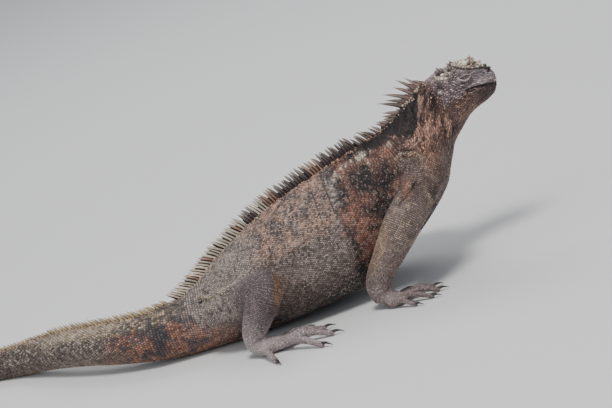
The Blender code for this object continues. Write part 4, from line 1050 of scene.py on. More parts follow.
def template(kind):
    """The corners of a scale of unit size: along, across, out and how near the tip."""
    sides = 8 if kind == "plate" else 6
    rim = []
    for i in range(sides):
        angle = math.tau * (i + 0.5) / sides
        a, b = math.cos(angle), math.sin(angle)
        reach = 0.50 / max(abs(a), abs(b)) if kind == "plate" else 0.52
        rim.append((a * reach, b * reach, -0.25, 0.0))
    if kind == "cone":
        waist = [(a * 0.70 + 0.03, b * 0.70, 0.50, 0.5) for a, b, _, _ in rim]
        corners = [*rim, *waist, (0.10, 0.0, 1.0, 1.0)]
        faces = [
            face
            for i, k in neighbours(6)
            for face in ((i, k, 6 + k), (i, 6 + k, 6 + i), (6 + i, 6 + k, 12))
        ]
    elif kind == "dome":
        corners = [*rim, (0.06, 0.0, 1.0, 1.0)]
        faces = [(i, k, 6) for i, k in neighbours(6)]
    else:
        # Keeled scales and plates have a ridge from low behind to high in front.
        corners = [*rim, (-0.20, 0.0, 0.70, 0.75), (0.22, 0.0, 1.0, 1.0)]
        faces = []
        for i, k in neighbours(sides):
            a, b = (sides + (rim[j][0] > 0) for j in (i, k))
            faces += [(i, k, b)] if a == b else [(i, k, b), (i, b, a)]
    return np.array(corners), np.array(faces)


# How far scales stray along their rows, as a share of their width, how their tones vary, the painted shade at
# their rims and the painted highlight at their tips, and the size of their patches on the unwrap.
ROW_JITTER = 0.07
TONE_SPREAD = 0.27
RIM_PAINTED_SHADE = 0.15
TIP_PAINTED_HIGHLIGHT = 1.12
UV_SCALE = 0.0028
# How much further than its own reach a scale looks for its neighbours.
CROWD_MARGIN = 1.5 * MM


class Scales:
    """The scales laid so far: root, normal, way, length, width, height and kind of each."""

    def __init__(self):
        self.rows = []

    def add(self, roots, normals, ahead, length, width, height, kind):
        sizes = [np.broadcast_to(size, len(roots)).astype(float) for size in (length, width, height)]
        kinds = np.broadcast_to(kind, len(roots))
        self.rows.append((np.asarray(roots), np.asarray(normals), np.asarray(ahead), *sizes, kinds))

    def joined(self):
        return [np.concatenate(column) for column in zip(*self.rows)]


def ring_grid(rings, pitch_of, row_pitch_of):
    """Places in staggered rows round a run of rings, with the way on from each and its room."""
    rings = as_array(rings)
    along = travelled(rings.mean(axis=1))
    places, ahead, sizes = [], [], []
    at, row = 0.0, 0
    while at < along[-1]:
        i = min(len(rings) - 2, int(np.searchsorted(along, at, side="right")) - 1)
        t = (at - along[i]) / max(along[i + 1] - along[i], 1e-9)
        ring, way = rings[i] * (1 - t) + rings[i + 1] * t, rings[i + 1] - rings[i]
        closed, closed_way = np.vstack([ring, ring[:1]]), np.vstack([way, way[:1]])
        round_it = travelled(closed)
        count = max(6, int(round(round_it[-1] / pitch_of(at) / 4)) * 4)
        spots = (np.arange(count) + 0.5 * (row % 2) + DRAW.normal(0, ROW_JITTER, count)) % count
        spots = spots * round_it[-1] / count
        for store, values in ((places, closed), (ahead, closed_way)):
            store.append(np.stack([np.interp(spots, round_it, values[:, k]) for k in range(3)], axis=1))
        sizes.append(np.full(count, round_it[-1] / count))
        at += row_pitch_of(at)
        row += 1
    return np.concatenate(places), np.concatenate(ahead), np.concatenate(sizes)


def onto_skin(tree, places, reach):
    """The nearest spots of the skin, and which of them lie within reach."""
    rows = []
    for p in places:
        spot_at, normal, _, distance = tree.find_nearest(p, reach * 3)
        missed = spot_at is None
        rows.append((0, 0, 0, 0, 0, 1, 0) if missed else (*spot_at, *normal, distance < reach))
    rows = np.array(rows, float)
    return rows[:, :3], rows[:, 3:6], rows[:, 6] > 0


class Crowd:
    """Keeps count of the places that are taken."""

    def __init__(self, cell):
        self.cell = cell
        self.taken = {}

    def key(self, p):
        return tuple(int(c // self.cell) for c in p)

    def free(self, p, reach):
        span = int(math.ceil((reach + CROWD_MARGIN) / self.cell))
        (x, y, z), (a, b, c) = p, self.key(p)
        for i in range(a - span, a + span + 1):
            for j in range(b - span, b + span + 1):
                for k in range(c - span, c + span + 1):
                    for q, size in self.taken.get((i, j, k), ()):
                        gap = (x - q[0]) ** 2 + (y - q[1]) ** 2 + (z - q[2]) ** 2
                        if gap < ((reach + size) * 0.5) ** 2:
                            return False
        return True

    def take(self, p, size):
        self.taken.setdefault(self.key(p), []).append((tuple(p), size))

    def settle(self, order, places, sizes):
        """The numbers, out of the order, of the places that are free; takes these."""
        chosen = []
        for i in order:
            if self.free(places[i], sizes[i]):
                self.take(places[i], sizes[i])
                chosen.append(i)
        return np.array(chosen, int)


def scale_mesh(name, kind, data, colour, pale, uv):
    """One joined mesh of scales of one kind, darkened at their rims with painted shade and lightened at their
    tips with a painted highlight.
    """
    roots, normals, ahead, *sizes = data
    corners, faces = template(kind)
    count, each, tip = len(roots), len(corners), corners[:, 3]
    jitter = DRAW.normal(0, 0.05, (count, 1, 3)) * sizes[2][:, None, None]
    vertices = roots[:, None, :]
    for k, way in enumerate(frame_on(normals, ahead)):
        vertices = vertices + way[:, None, :] * (corners[None, :, k, None] * sizes[k][:, None, None])
    vertices = vertices + jitter * (tip[None, :, None] > 0.5)
    vertices[:, :, 2] = np.maximum(vertices[:, :, 2], 0.05 * MM)
    all_faces = (faces[None] + (np.arange(count) * each)[:, None, None]).reshape(-1, 3)
    own = np.exp(DRAW.normal(0, TONE_SPREAD, count))
    pale = np.clip(DRAW.random(count) ** 3 * pale * 1.9, 0, 0.8)
    body = mix(colour * own[:, None], TONES["salt"], pale)
    # Painted shade darkens each scale's rim and a painted highlight lightens its tip.
    light = body[:, None, :] * (RIM_PAINTED_SHADE + TIP_PAINTED_HIGHLIGHT * tip)[None, :, None]
    patch = uv[:, None, :] + corners[None, :, :2] * UV_SCALE
    return mesh_object(name, vertices.reshape(-1, 3), all_faces, light.reshape(-1, 3), patch.reshape(-1, 2))


def mesh_object(name, vertices, faces, colour, uv=None):
    """A smooth mesh of triangles with a colour at each point and a place on the unwrap."""
    mesh = bpy.data.meshes.new(name)
    mesh.vertices.add(len(vertices))
    mesh.vertices.foreach_set("co", np.ascontiguousarray(vertices, dtype=np.float32).ravel())
    mesh.loops.add(len(faces) * 3)
    mesh.loops.foreach_set("vertex_index", np.ascontiguousarray(faces, dtype=np.int32).ravel())
    mesh.polygons.add(len(faces))
    mesh.polygons.foreach_set("loop_start", np.arange(0, len(faces) * 3, 3, dtype=np.int32))
    soften(mesh)
    mesh.update(calc_edges=True)
    tint(mesh, np.clip(colour, 0.002, 0.9))
    if uv is not None:
        layer = mesh.uv_layers.new(name="OFBake")
        layer.data.foreach_set("uv", uv[faces.ravel()].astype(np.float32).ravel())
    return linked(name, mesh)


def soften(mesh):
    mesh.polygons.foreach_set("use_smooth", np.ones(len(mesh.polygons), dtype=bool))


def tint(mesh, colour):
    layer = mesh.color_attributes.new("tint", "FLOAT_COLOR", "POINT")
    rgba = np.hstack([colour, np.ones((len(colour), 1))])
    layer.data.foreach_set("color", rgba.astype(np.float32).ravel())


# ---------------------------------------------------------------- the skin

# Finer forms, for the skin alone, laid on it from the side.
FACE_FORMS = (
    ("nostril pit", ((290, 10.2, 172.6),), 1.5, -2.8),
    ("nostril rim", ((288.2, 10.6, 173.4), (289.0, 10.4, 174.6), (290.8, 9.9, 174.7)), 0.8, 0.7),
    ("lip fold", MOUTH_CORNER, 0.9, -1.0),
    ("lip between", ((262, 20.4, 161.6), (270, 18, 161.5)), 0.7, 0.6),
    ("brow shade", BROW_SHADE, 1.2, -1.0),
    ("brow ridge", ((256, 18, 184), (264, 18, 181.8), (272, 16, 178.6)), 1.4, 0.8),
    (
        "ear rim",
        ((240, 24, 173.6), (236, 24, 174.6), (233, 24, 171), (234.5, 24, 166.8), (238.5, 24, 166.8)),
        1.2,
        0.7,
    ),
    ("ear pit", (EAR,), 2.6, -0.7),
    ("labial row", ((268, 19.5, 166.8), (276, 17.4, 165.4), (284, 14.6, 163.4), (291, 9.8, 161.8)), 1.6, 0.5),
    ("cheek line 1", ((262, 21, 167), (255, 22.6, 165), (249, 24, 166)), 0.9, -0.5),
    ("cheek line 2", ((262, 21.4, 164), (256, 22.8, 161), (250, 24, 161)), 0.9, -0.5),
    ("snout line 1", ((277, 15.4, 174), (284, 13, 172), (287, 12, 168)), 0.9, -0.45),
    ("snout line 2", ((275, 16, 170), (282, 14.4, 168.5), (287, 12.6, 165.5)), 0.8, -0.4),
    ("jaw line", ((252, 21, 147), (262, 18.5, 146), (273, 15, 147)), 2.6, -0.7),
    ("gular fold", ((262, 12, 138.5), (251, 16, 133), (241, 17, 125)), 3.0, -0.8),
    ("cheek fold", ((246, 23.6, 171), (243.5, 24, 164), (244, 24, 156), (247, 22.5, 149)), 1.8, -0.8),
    ("temple fold", ((254, 19.5, 178.5), (247.5, 21.5, 176), (243, 22.5, 171)), 1.6, -0.7),
    ("snout top", ((279, 4.5, 184.2), (286, 4, 180)), 2.0, 0.6),
    ("nose shield", ((292.5, 0, 173), (295, 0, 166)), 2.2, 0.7),
)
BODY_FORMS = (
    ("nape fold", ((236, 21.5, 176), (232, 24, 162), (228, 25.5, 146), (224, 24, 128)), 2.0, -0.9),
    ("neck wrinkle 1", ((228, 21, 166), (221, 26, 150), (214, 29, 132), (210, 28, 112)), 2.0, -1.0),
    ("neck wrinkle 2", ((216, 22, 162), (208, 29, 142), (201, 33, 124), (197, 36, 106)), 2.4, -1.1),
    ("neck wrinkle 3", ((204, 25, 155), (196, 33, 138), (190, 40, 122)), 2.6, -1.0),
    ("neck wrinkle 4", ((236, 20, 150), (231, 22, 134), (226, 21, 118)), 2.0, -0.9),
    ("shoulder arc", ((186, 42, 128), (176, 52, 132), (163, 58, 129), (154, 62, 119)), 2.2, 0.9),
    ("shoulder edge", ((156, 62, 116), (149, 66, 104), (146, 68, 92)), 3.2, -1.2),
    ("chest fold 1", ((143, 62, 92), (134, 64, 84), (128, 65, 72)), 3.0, -0.9),
    ("chest fold 2", ((132, 63, 104), (122, 65, 94), (116, 66, 80)), 3.0, -0.8),
    ("flank fold 1", ((112, 62, 112), (104, 66, 92), (100, 67, 70), (101, 62, 46)), 5.0, -0.5),
    ("flank fold 2", ((96, 66, 76), (90, 67, 58), (92, 62, 38)), 2.6, -0.6),
    ("flank fold 3", ((6, 58, 84), (22, 64, 78), (40, 67, 66), (60, 67, 56)), 3.4, -0.7),
    ("flank fold 4", ((30, 60, 42), (46, 62, 34), (62, 61, 30)), 3.0, -0.6),
    ("crease edge", THIGH_EDGE, 1.6, 1.3),
    ("crease deep", THIGH_CREASE, 1.3, -1.7),
    ("arm crease", ARM_CREASE, 2.2, -2.6),
    ("arm crease 2", ((176, 62, 99), (168, 70, 94)), 2.0, -1.0),
    ("shoulder ring", ((172, 60, 128), (184, 58, 133), (194, 52, 128), (198, 48, 118)), 1.8, -1.0),
    ("elbow 1", ((163, 92, 80), (155, 95, 74), (148, 93, 66)), 1.6, -0.9),
    ("elbow 2", ((158, 95, 83), (150, 97, 77), (143, 95, 70)), 1.4, -0.8),
    ("elbow 3", ((167, 74, 64), (158, 72, 60), (150, 72, 56)), 1.8, -0.9),
    ("ankle 1", ((-6, 104, 27), (-12, 104, 23), (-20, 101, 22)), 1.2, -0.8),
    ("ankle 2", ((-4, 103, 21), (-11, 104, 18), (-19, 102, 17)), 1.2, -0.8),
    ("ankle 3", ((-3, 94, 31), (0, 98, 27), (-2, 102, 24)), 1.4, -0.8),
    ("wrist 1", ((123, 93, 26), (117, 94, 22), (110, 90, 21)), 1.2, -0.7),
    ("wrist 2", ((126, 92, 20), (120, 94, 17), (112, 92, 16)), 1.2, -0.7),
    ("knee fold", ((2, 97, 60), (-4, 98, 70), (0, 94, 80)), 2.0, -0.9),
)
SKIN_NOISE = 0.22
NECK_FOLDS = 1.8
CHEEK_WRINKLES = 0.8
FACE_START = 236 * MM
FEET_TOP = 24 * MM


def in_face(points):
    return (points[:, 0] > FACE_START) & (points[:, 2] > 110 * MM)


def in_feet(points):
    out = np.abs(points[:, 1]) > 58 * MM
    return (points[:, 2] < FEET_TOP) & out & (points[:, 0] > -60 * MM)


def eye_places(points, side):
    """Where points lie round an eye, in millimetres: offset, reach, how far outside the opening of
    the lids, in how many openings' widths, and whether on the outer half."""
    offset = (points - eye_centre(side)) / MM
    along, across = np.abs(offset[:, 0]), np.abs(offset[:, 2])
    lens = LID_HEIGHT / 2 * (1 - np.clip(along / (LID_LENGTH / 2), 0, 0.98) ** 1.7)
    ring = np.hypot(along / (LID_LENGTH / 2), across / (LID_HEIGHT / 2))
    return offset, np.linalg.norm(offset, axis=1), across - lens, ring, offset[:, 1] * side > 0


def shape_eyes(mesh):
    """Opens the lids over the eyes and gives them rims and wrinkles."""
    points = points_of(mesh)
    for side in (-1, 1):
        offset, far, edge, ring, outer = eye_places(points, side)
        near = outer & (far < 14)
        past_corner = np.abs(offset[:, 0]) > LID_LENGTH / 2
        edge = np.where(past_corner, np.maximum(edge, 0.6), edge)
        outward = offset / np.maximum(far, 1e-6)[:, None]
        # The lids clear the eyeball, and inside their opening the skin lies behind it.
        least = (EYE_RADIUS + LID_THICKNESS) * MM
        sunk = near & (far * MM < least)
        points = np.where(sunk[:, None], eye_centre(side) + outward * least, points)
        behind = eye_centre(side) + outward * (EYE_RADIUS - 1.3) * MM
        rim = np.exp(-(((edge - 0.62) / 0.36) ** 2)) * (ring < 1.6)
        gap = np.exp(-(((edge - 1.35) / 0.28) ** 2)) * (ring < 1.9)
        folds = np.zeros(len(points))
        for at, height in LID_FOLDS:
            folds += height * np.exp(-(((ring - at) / 0.12) ** 2))
            folds -= height * 0.9 * np.exp(-(((ring - at - 0.22) / 0.10) ** 2))
        rise = (rim * 0.75 - gap * 0.6 + folds * 1.5 * ramp(-far, -11, -7.5)) * near
        raised = points + outward * rise[:, None] * MM
        points = raised + (behind - raised) * (ramp(-edge, -0.2, 0.3) * near)[:, None]
    set_points(mesh, points)


def on_neck(x, z, start, below, end):
    """The neck between chest and head, each limit given with the run over which it sets in."""
    return ramp(x, *start) * ramp(z, *below) * ramp(-x - 0.25 * (z - 150), *end)


def make_skin():
    """The flesh with its forms, folds and lids, as one mesh that lies the coat's depth further in."""
    skin = make_flesh()
    mesh = skin.data
    refine(mesh, in_face, 2)
    refine(mesh, in_feet, 1)
    sculpt(mesh, FORMS)
    tree = tree_from(skin)
    for forms in (BODY_FORMS, FACE_FORMS):
        sculpt(mesh, [(word, drape(tree, line, -1), reach, height) for word, line, reach, height in forms])
    points, normals = points_of(mesh), points_of(mesh, "normal")
    points -= normals * COAT_DEPTH

    def raise_by(heights):
        points[:] += normals * (heights * MM)[:, None]

    raise_by((noise(points, 3.2 * MM, 71) - 0.5) * SKIN_NOISE)
    x, y, z = points.T / MM
    y = np.abs(y)
    folds = lumps(streak_places(x, y, z), 9, 35) - 0.5
    raise_by(on_neck(x, z, (184, 196), (104, 122), (-240, -232)) * folds * NECK_FOLDS)
    on_cheek = ramp(x, 238, 244) * ramp(z, 140, 148) * ramp(-z, -184, -180)
    wrinkles = lumps(np.stack([x * 0.5, y, z + 0.12 * x], axis=1), 2.4, 37) - 0.5
    raise_by(on_cheek * wrinkles * CHEEK_WRINKLES)
    points[:, 2] = np.maximum(points[:, 2], 0.0)
    set_points(mesh, points)
    shape_eyes(mesh)
    soften(mesh)
    return skin


def drape(tree, line, side):
    """Lays a line on the skin of one side, seen from there, in millimetres."""
    line = np.array(line, float)
    if np.allclose(line[:, 1], 0):
        return line
    line[:, 1] *= side
    fine = [line[0]]
    for a, b in zip(line[:-1], line[1:]):
        count = max(1, int(np.linalg.norm(b - a) / 3))
        fine += [a + (b - a) * (i + 1) / count for i in range(count)]
    made = []
    for x, y, z in fine:
        hit = tree.ray_cast(Vector((x, side * 200, z)) * MM, Vector((0, -side, 0)), 0.2)[0]
        if hit is None or abs(hit.y / MM - y) > 16:
            hit = tree.find_nearest(Vector((x, y, z)) * MM)[0]
        if not made or (hit / MM - made[-1]).length > 0.5:
            made.append(hit / MM)
    if len(made) > 1 or len(line) == 1:
        line = np.array([tuple(point) for point in made])
    return line * (1, side, 1)


def skin_colour(points, colour):
    """The skin is darkened between the scales and inside the lids' opening with painted shade, and bare on
    the ear and the rims of the lids.
    """
    x, y, z = points.T / MM
    ear = np.exp(-(((x - EAR[0]) ** 2 + (z - EAR[2]) ** 2) / 2.5**2) ** 3) * (np.abs(y) > 10)
    on_head = (x > 250) & (z > 160)
    rim = np.zeros(len(points))
    for side in (-1, 1):
        _, _, edge, ring, outer = eye_places(points, side)
        rim = np.maximum(rim, np.exp(-(((edge - 0.8) / 0.75) ** 2)) * (ring < 1.6) * outer)
        # Painted shade on the skin inside the lids' opening, behind the eyeball.
        inside = (edge < 0.1) & (ring < 1.1) & outer & on_head
        colour = np.where(inside[:, None], colour * 0.25, colour)
    # Painted shade on the skin between the scales, lighter on the feet.
    made = colour * np.where(in_feet(points), 0.62, 0.38)[:, None]
    made = mix(made, TONES["labial"] * 1.1, ear)
    return mix(made, TONES["labial"] * 1.15, rim * on_head)


def tree_from(obj):
    faces = [tuple(p.vertices) for p in obj.data.polygons]
    return BVHTree.FromPolygons([tuple(p) for p in points_of(obj.data)], faces)


# ---------------------------------------------------------------- where the scales grow

# The widths of the scales.
NECK_PITCH = 1.50 * MM
BODY_PITCH = 2.12 * MM
TAIL_PITCH = 2.7 * MM
LIMB_PITCH = 2.15 * MM
DIGIT_PITCH = 1.55 * MM
DIGIT_ROW = 1.45 * MM
SOLE_SCALE = 1.55 * MM
SPARE_SCALE = 2.15 * MM
CONES_FROM = 2.2 * MM
LID_SCALE = 1.05


def trunk_pitch(at, start):
    """The width of the trunk's scales at a distance from the snout."""
    growth = ramp(at / MM, 40, 120)
    onto_tail = ramp((at - start) / MM, -40, 40)
    thin = ramp((at - start) / MM, 180, 520)
    body = NECK_PITCH + (BODY_PITCH - NECK_PITCH) * growth
    return body + (TAIL_PITCH - body) * onto_tail - 0.9 * MM * thin


def clear_of_eyes(points):
    clear = np.ones(len(points), bool)
    for side in (-1, 1):
        _, far, edge, ring, outer = eye_places(points, side)
        clear &= ~(outer & (far < 9) & ((ring < 1.25) | (edge < 1.35) & (ring < 1.7)))
    return clear


# Lines that scales keep away from, and how far.
BARE = (
    ((*MOUTH, MOUTH_FRONT[1]), 1.0),
    (MOUTH_CORNER, 0.7),
    ((NOSTRIL,), 2.0),
    (((290, 9, 172.6),), 2.0),
    (((236.5, 23.5, 170.5),), 3.0),
)


def clear_of_mouth(points):
    """Away from the line of the mouth, the nostrils and the ears."""
    mirror = points * (1, 1, 1)
    mirror[:, 1] = np.abs(mirror[:, 1])
    clear = np.ones(len(points), bool)
    for line, reach in BARE:
        clear &= distance_to_path(mirror, np.array(line) * MM) > reach * MM
    return clear


def head_lumps(scales, crowd, tree):
    """The big tubercles of the crown and the temples, each with five small ones round it."""
    spots, sizes, heights = [], [], []
    for (x, y, z), radius, height in BUMPS:
        for side in (1, -1) if y else (1,):
            on_temple = x < 252 and y
            for extra in range(6):
                turn = math.tau * (extra / 5 + 0.13 * side) + random.uniform(-0.3, 0.3)
                far = 0 if extra == 0 else radius * random.uniform(0.95, 1.3)
                share = 1.0 if extra == 0 else random.uniform(0.40, 0.75)
                away = far * math.sin(turn)
                place = (x + far * math.cos(turn), side * (y + away), z)
                if on_temple:
                    place = (place[0] + 0.8, place[1], z + 3.2 + away)
                spots.append(place)
                sizes.append(radius * 1.75 * share)
                heights.append(height * share * random.uniform(0.9, 1.35) * (1.0 if on_temple else 1.35))
    at, normals, good = onto_skin(tree, np.array(spots) * MM, 3.5 * MM)
    good &= clear_of_eyes(at)
    at, normals, sizes, heights = at[good], normals[good], np.array(sizes)[good] * MM, np.array(heights)[good]
    for place, size in zip(at, sizes):
        crowd.take(place, size * 0.8)
    ways = np.tile((-1.0, 0.0, 0.0), (len(at), 1))
    scales.add(at, normals, ways, sizes, sizes * 0.92, heights * MM, "cone")


def place_scales(skin, paths):
    """All scales: tubercles first, then rows on trunk, limbs and digits, then the scattered ones."""
    tree, crowd, scales = tree_from(skin), Crowd(2.5 * MM), Scales()
    head_lumps(scales, crowd, tree)
    start = paths[0].tail_start
    spots, ahead, sizes = ring_grid(
        trunk_rings(1.5 * MM, 96),
        lambda at: trunk_pitch(at, start),
        lambda at: trunk_pitch(at, start) * (0.87 + 0.1 * (at > start)),
    )
    keep = spots[:, 0] + 0.3 * (spots[:, 2] - 0.15) < (HEAD_ZONE + 10) * MM
    grid = spots[keep], ahead[keep], sizes[keep]
    kinds = np.where(grid[0][:, 0] < TAIL_ROOT, "plate", "keel")
    lay(scales, crowd, tree, grid, 2.2 * MM, kinds, 0.33, 1.20, 1.16)
    for pair in (LIMBS[:2], LIMBS[2:]):
        for limb in pair:
            path = limb_path(limb, 1.5 * MM)
            length = len(path) * 1.5 * MM
            pitch = lambda at: LIMB_PITCH * (1 - 0.25 * at / length)
            grid = ring_grid(tube_rings(path, 48)[0], pitch, lambda at: pitch(at) * 0.88)
            lay(scales, crowd, tree, grid, 1.8 * MM, "keel", 0.32, 1.00, 1.34)
        for limb in pair:
            for path in digit_paths(limb, 1.0 * MM):
                rings = tube_rings(path[int(len(path) * 0.3) :], 24)[0]
                grid = ring_grid(rings, lambda at: DIGIT_PITCH, lambda at: DIGIT_ROW)
                lay(scales, crowd, tree, grid, 1.2 * MM, "dome", 0.19, 1.18, 1.36)
    scatter(scales, crowd, skin)
    return scales, tree


def lay(scales, crowd, tree, grid, reach, kind, rise, long, wide):
    """Puts scales in rows on the skin, but for places that are taken or too far from it."""
    spots, ahead, sizes = grid
    at, normals, good = onto_skin(tree, spots, reach)
    good &= (at[:, 2] > 0.6 * MM) & clear_of_mouth(at)
    chosen = crowd.settle(np.nonzero(good)[0], at, sizes * 0.80)
    sizes = sizes[chosen]
    spread = DRAW.normal(1, 0.05, len(chosen))
    tall = sizes * rise * DRAW.normal(1, 0.15, len(chosen))
    kinds = np.broadcast_to(kind, len(spots))[chosen]
    size = sizes * spread
    scales.add(at[chosen], normals[chosen], ahead[chosen], size * long, size * wide, tall, kinds)


def face_size(points):
    """The width of the scales of the head, in metres."""
    x, y, z = points[:, 0] / MM, np.abs(points[:, 1]) / MM, points[:, 2] / MM
    size = 1.75 + 0.45 * ramp(-x, -272, -258) * ramp(z, 150, 158)
    size += 1.0 * on_crown(x, y, z)
    size += 1.6 * oval(x, z, TEMPLE, TEMPLE_SIZE) * (y > 5)
    size += 0.25 * ramp(x, 284, 292) * (z > 160)
    for side in (-1, 1):
        _, far, _, _, outer = eye_places(points, side)
        size = size + (LID_SCALE - size) * (outer * ramp(-far, -10, -7.5))
    return size * MM


def scatter(scales, crowd, skin):
    """Fills the head, the hands and feet and the places left over with scales of fitting sizes."""
    mesh = skin.data
    count = len(mesh.polygons)
    read = {"center": np.empty(count * 3), "normal": np.empty(count * 3), "area": np.empty(count)}
    for name, values in read.items():
        mesh.polygons.foreach_get(name, values)
    centres, normals = read["center"].reshape(-1, 3), read["normal"].reshape(-1, 3)
    head = centres[:, 0] + 0.3 * (centres[:, 2] - 0.15) > HEAD_ZONE * MM
    feet = in_feet(centres)
    sizes = np.where(head, face_size(centres), np.where(feet, SOLE_SCALE, SPARE_SCALE))
    wanted = read["area"] / sizes**2 * np.where(head | feet, 5.0, 1.5)
    pick = np.nonzero(DRAW.random(count) < wanted)[0]
    at = centres[pick]
    ok = clear_of_eyes(at) & clear_of_mouth(at) & (at[:, 2] > 0.5 * MM) & (normals[pick, 2] > -0.93)
    pick = pick[ok]
    # The big ones go first.
    pick = pick[np.argsort(-sizes[pick] + DRAW.normal(0, 0.25 * MM, len(pick)))]
    chosen = crowd.settle(pick, centres, sizes * 0.88)
    at, size, head, feet = centres[chosen], sizes[chosen], head[chosen], feet[chosen]
    ahead = np.where(feet[:, None], (1.0, 0.0, 0.0), flow(at))
    big = size > CONES_FROM
    kinds = np.where(big, "cone", np.where(head, "keel", "dome"))
    slim = stretch(at) * head
    tall = size * np.where(big, 0.60, 0.26) * DRAW.normal(1, 0.15, len(chosen))
    scales.add(
        at, normals[chosen], ahead, size * (1.22 + 0.50 * slim), size * (1.16 - 0.20 * slim), tall, kinds
    )


def flow(points):
    """Which way the scales of the head point: round the eyes, and back along the face."""
    x, z = points[:, 0] / MM, points[:, 2] / MM
    drop = 0.10 - 0.25 * ramp(-x, -262, -246) * ramp(-z, -172, -160)
    ahead = np.stack([-np.ones(len(x)), 0 * x, drop], axis=1)
    for side in (-1, 1):
        offset, far, _, _, outer = eye_places(points, side)
        around = np.stack([-offset[:, 2], 0 * x, offset[:, 0]], axis=1) / np.maximum(far, 1)[:, None]
        around = np.where(around[:, :1] > 0, -around, around)
        ahead = ahead + (around - ahead) * (outer * ramp(-far, -15, -9))[:, None]
    return ahead


def stretch(points):
    """How drawn out the scales are: most on the snout, the cheeks and round the eyes."""
    x, z = points[:, 0] / MM, points[:, 2] / MM
    return ramp(z, 155, 163) * ramp(-z, -186, -182) * ramp(x, 240, 250)


# ---------------------------------------------------------------- crest, claws and eyes


def midline():
    """The line along the top of the neck, back and tail, from the nape, and how far along it is."""
    nape = [row[0] for row in TRUNK].index("nape")
    rows = [(x * MM, 0, z * MM) for _, (x, z), *_ in TRUNK[nape:]]
    rows += [(x * MM, y * MM, (height + lift) * MM) for (x, y), height, _, lift in TAIL]
    line = curve_through([*rows, Vector(TAIL_TIP) * MM], 1.0 * MM)
    return line, travelled(line)


def place_on(line, along, distance):
    """A place on the line, the way on and the way out of the back there."""
    here, on = (
        Vector([float(np.interp(at, along, line[:, k])) for k in range(3)])
        for at in (distance, distance + 2 * MM)
    )
    heading = (on - here).normalized()
    across = Vector((-heading.y, heading.x, 0)).normalized()
    normal = heading.cross(across)
    return here, heading, across, normal if normal.z > 0 else -normal


def drop(tree, place, normal):
    """Where the skin lies under a place: the spot and its normal, or nothing."""
    return tree.ray_cast(place + normal * 20 * MM, -normal, 60 * MM)[:2]


# Where the crest's runs on the tail begin, and the sides and rings of a spine.
CREST_TAIL = 340
SPINE_SIDES = 8
SPINE_RINGS = 8
# How deep the spines are rooted under the skin, in millimetres.
SPINE_ROOT = 1.4
# Body, side and tip of the spines of each part of the crest: the dark side is painted shade on the flanks
# towards the neighbours, the pale tip a painted highlight. The low spines in the gaps take dark tones that
# stand in for the shade there.
SPINE_TONES = {
    "gap": (tone(46, 34, 34), tone(16, 12, 14), tone(76, 60, 56)),
    "nape": (tone(146, 122, 114), tone(38, 28, 31), tone(186, 164, 150)),
    "dark": (tone(92, 78, 78), tone(18, 14, 17), tone(206, 192, 180)),
    "brown": (tone(176, 140, 118), tone(44, 33, 33), tone(216, 192, 170)),
    "rear": (tone(244, 226, 202), tone(64, 50, 46), tone(250, 240, 224)),
    "tail": (tone(206, 180, 140), tone(92, 78, 70), tone(232, 212, 172)),
}


def crest_rows():
    """Every spine: place along the midline, height, base length and width, lean, tones, bluntness."""
    rows = []
    for i, (at, tall, length, width, lean) in enumerate(NAPE):
        rows.append((at, tall * 1.08, length * 0.98, width * 0.95, lean, "nape", 1.5))
        if i + 1 < len(NAPE):
            low = min(tall, NAPE[i + 1][1]) * random.uniform(0.35, 0.7)
            lean += random.uniform(-9, 9)
            rows.append(((at + NAPE[i + 1][0]) / 2, low, 2.6, 2.0, lean, "nape", 1.8))
    for (start, end), height, width, leans, spread in CREST:
        on_tail = start > CREST_TAIL
        pitch, taller, length = (4.7, 1.38, 4.6) if on_tail else (3.2, 1.30, 3.3)
        end += 8.5 if on_tail else 0
        count = int((end - start) / pitch)
        for i in range(count):
            share = i / (count - 1)
            at = start + (end - start) * share + random.uniform(-0.3, 0.3)
            lean = leans[0] + (leans[1] - leans[0]) * share + random.uniform(-5, 5)
            tall = height * (taller + spread * random.uniform(-1.3, 0.7))
            word, blunt = spine_look(at, i // 4, on_tail)
            rows.append((at, tall, length, width * 1.1, lean, word, blunt))
            if at > 90 and not on_tail:
                low = tall * random.uniform(0.70, 0.86) * (1 - 0.38 * (at < 235))
                # Low spines in the gaps, in dark tones that stand in for the shade between the spines.
                rows.append((at + 0.5 * pitch, low, 3.2, width * 0.8, lean, "gap", 7.0))
    return rows


def spine_look(at, clump, on_tail):
    """The tones and the bluntness of a spine, by its place and its clump of four."""
    if on_tail:
        return "tail", 3.0
    if at < 96:
        return "nape", 2.6
    if at < 200:
        return "brown" if clump % 4 == 3 else "dark", 6.0
    word = ("rear", "rear", "brown", "rear", "dark")[clump % 5] if at < 250 else "rear"
    return "brown" if word == "rear" and random.random() < 0.20 else word, 9.0


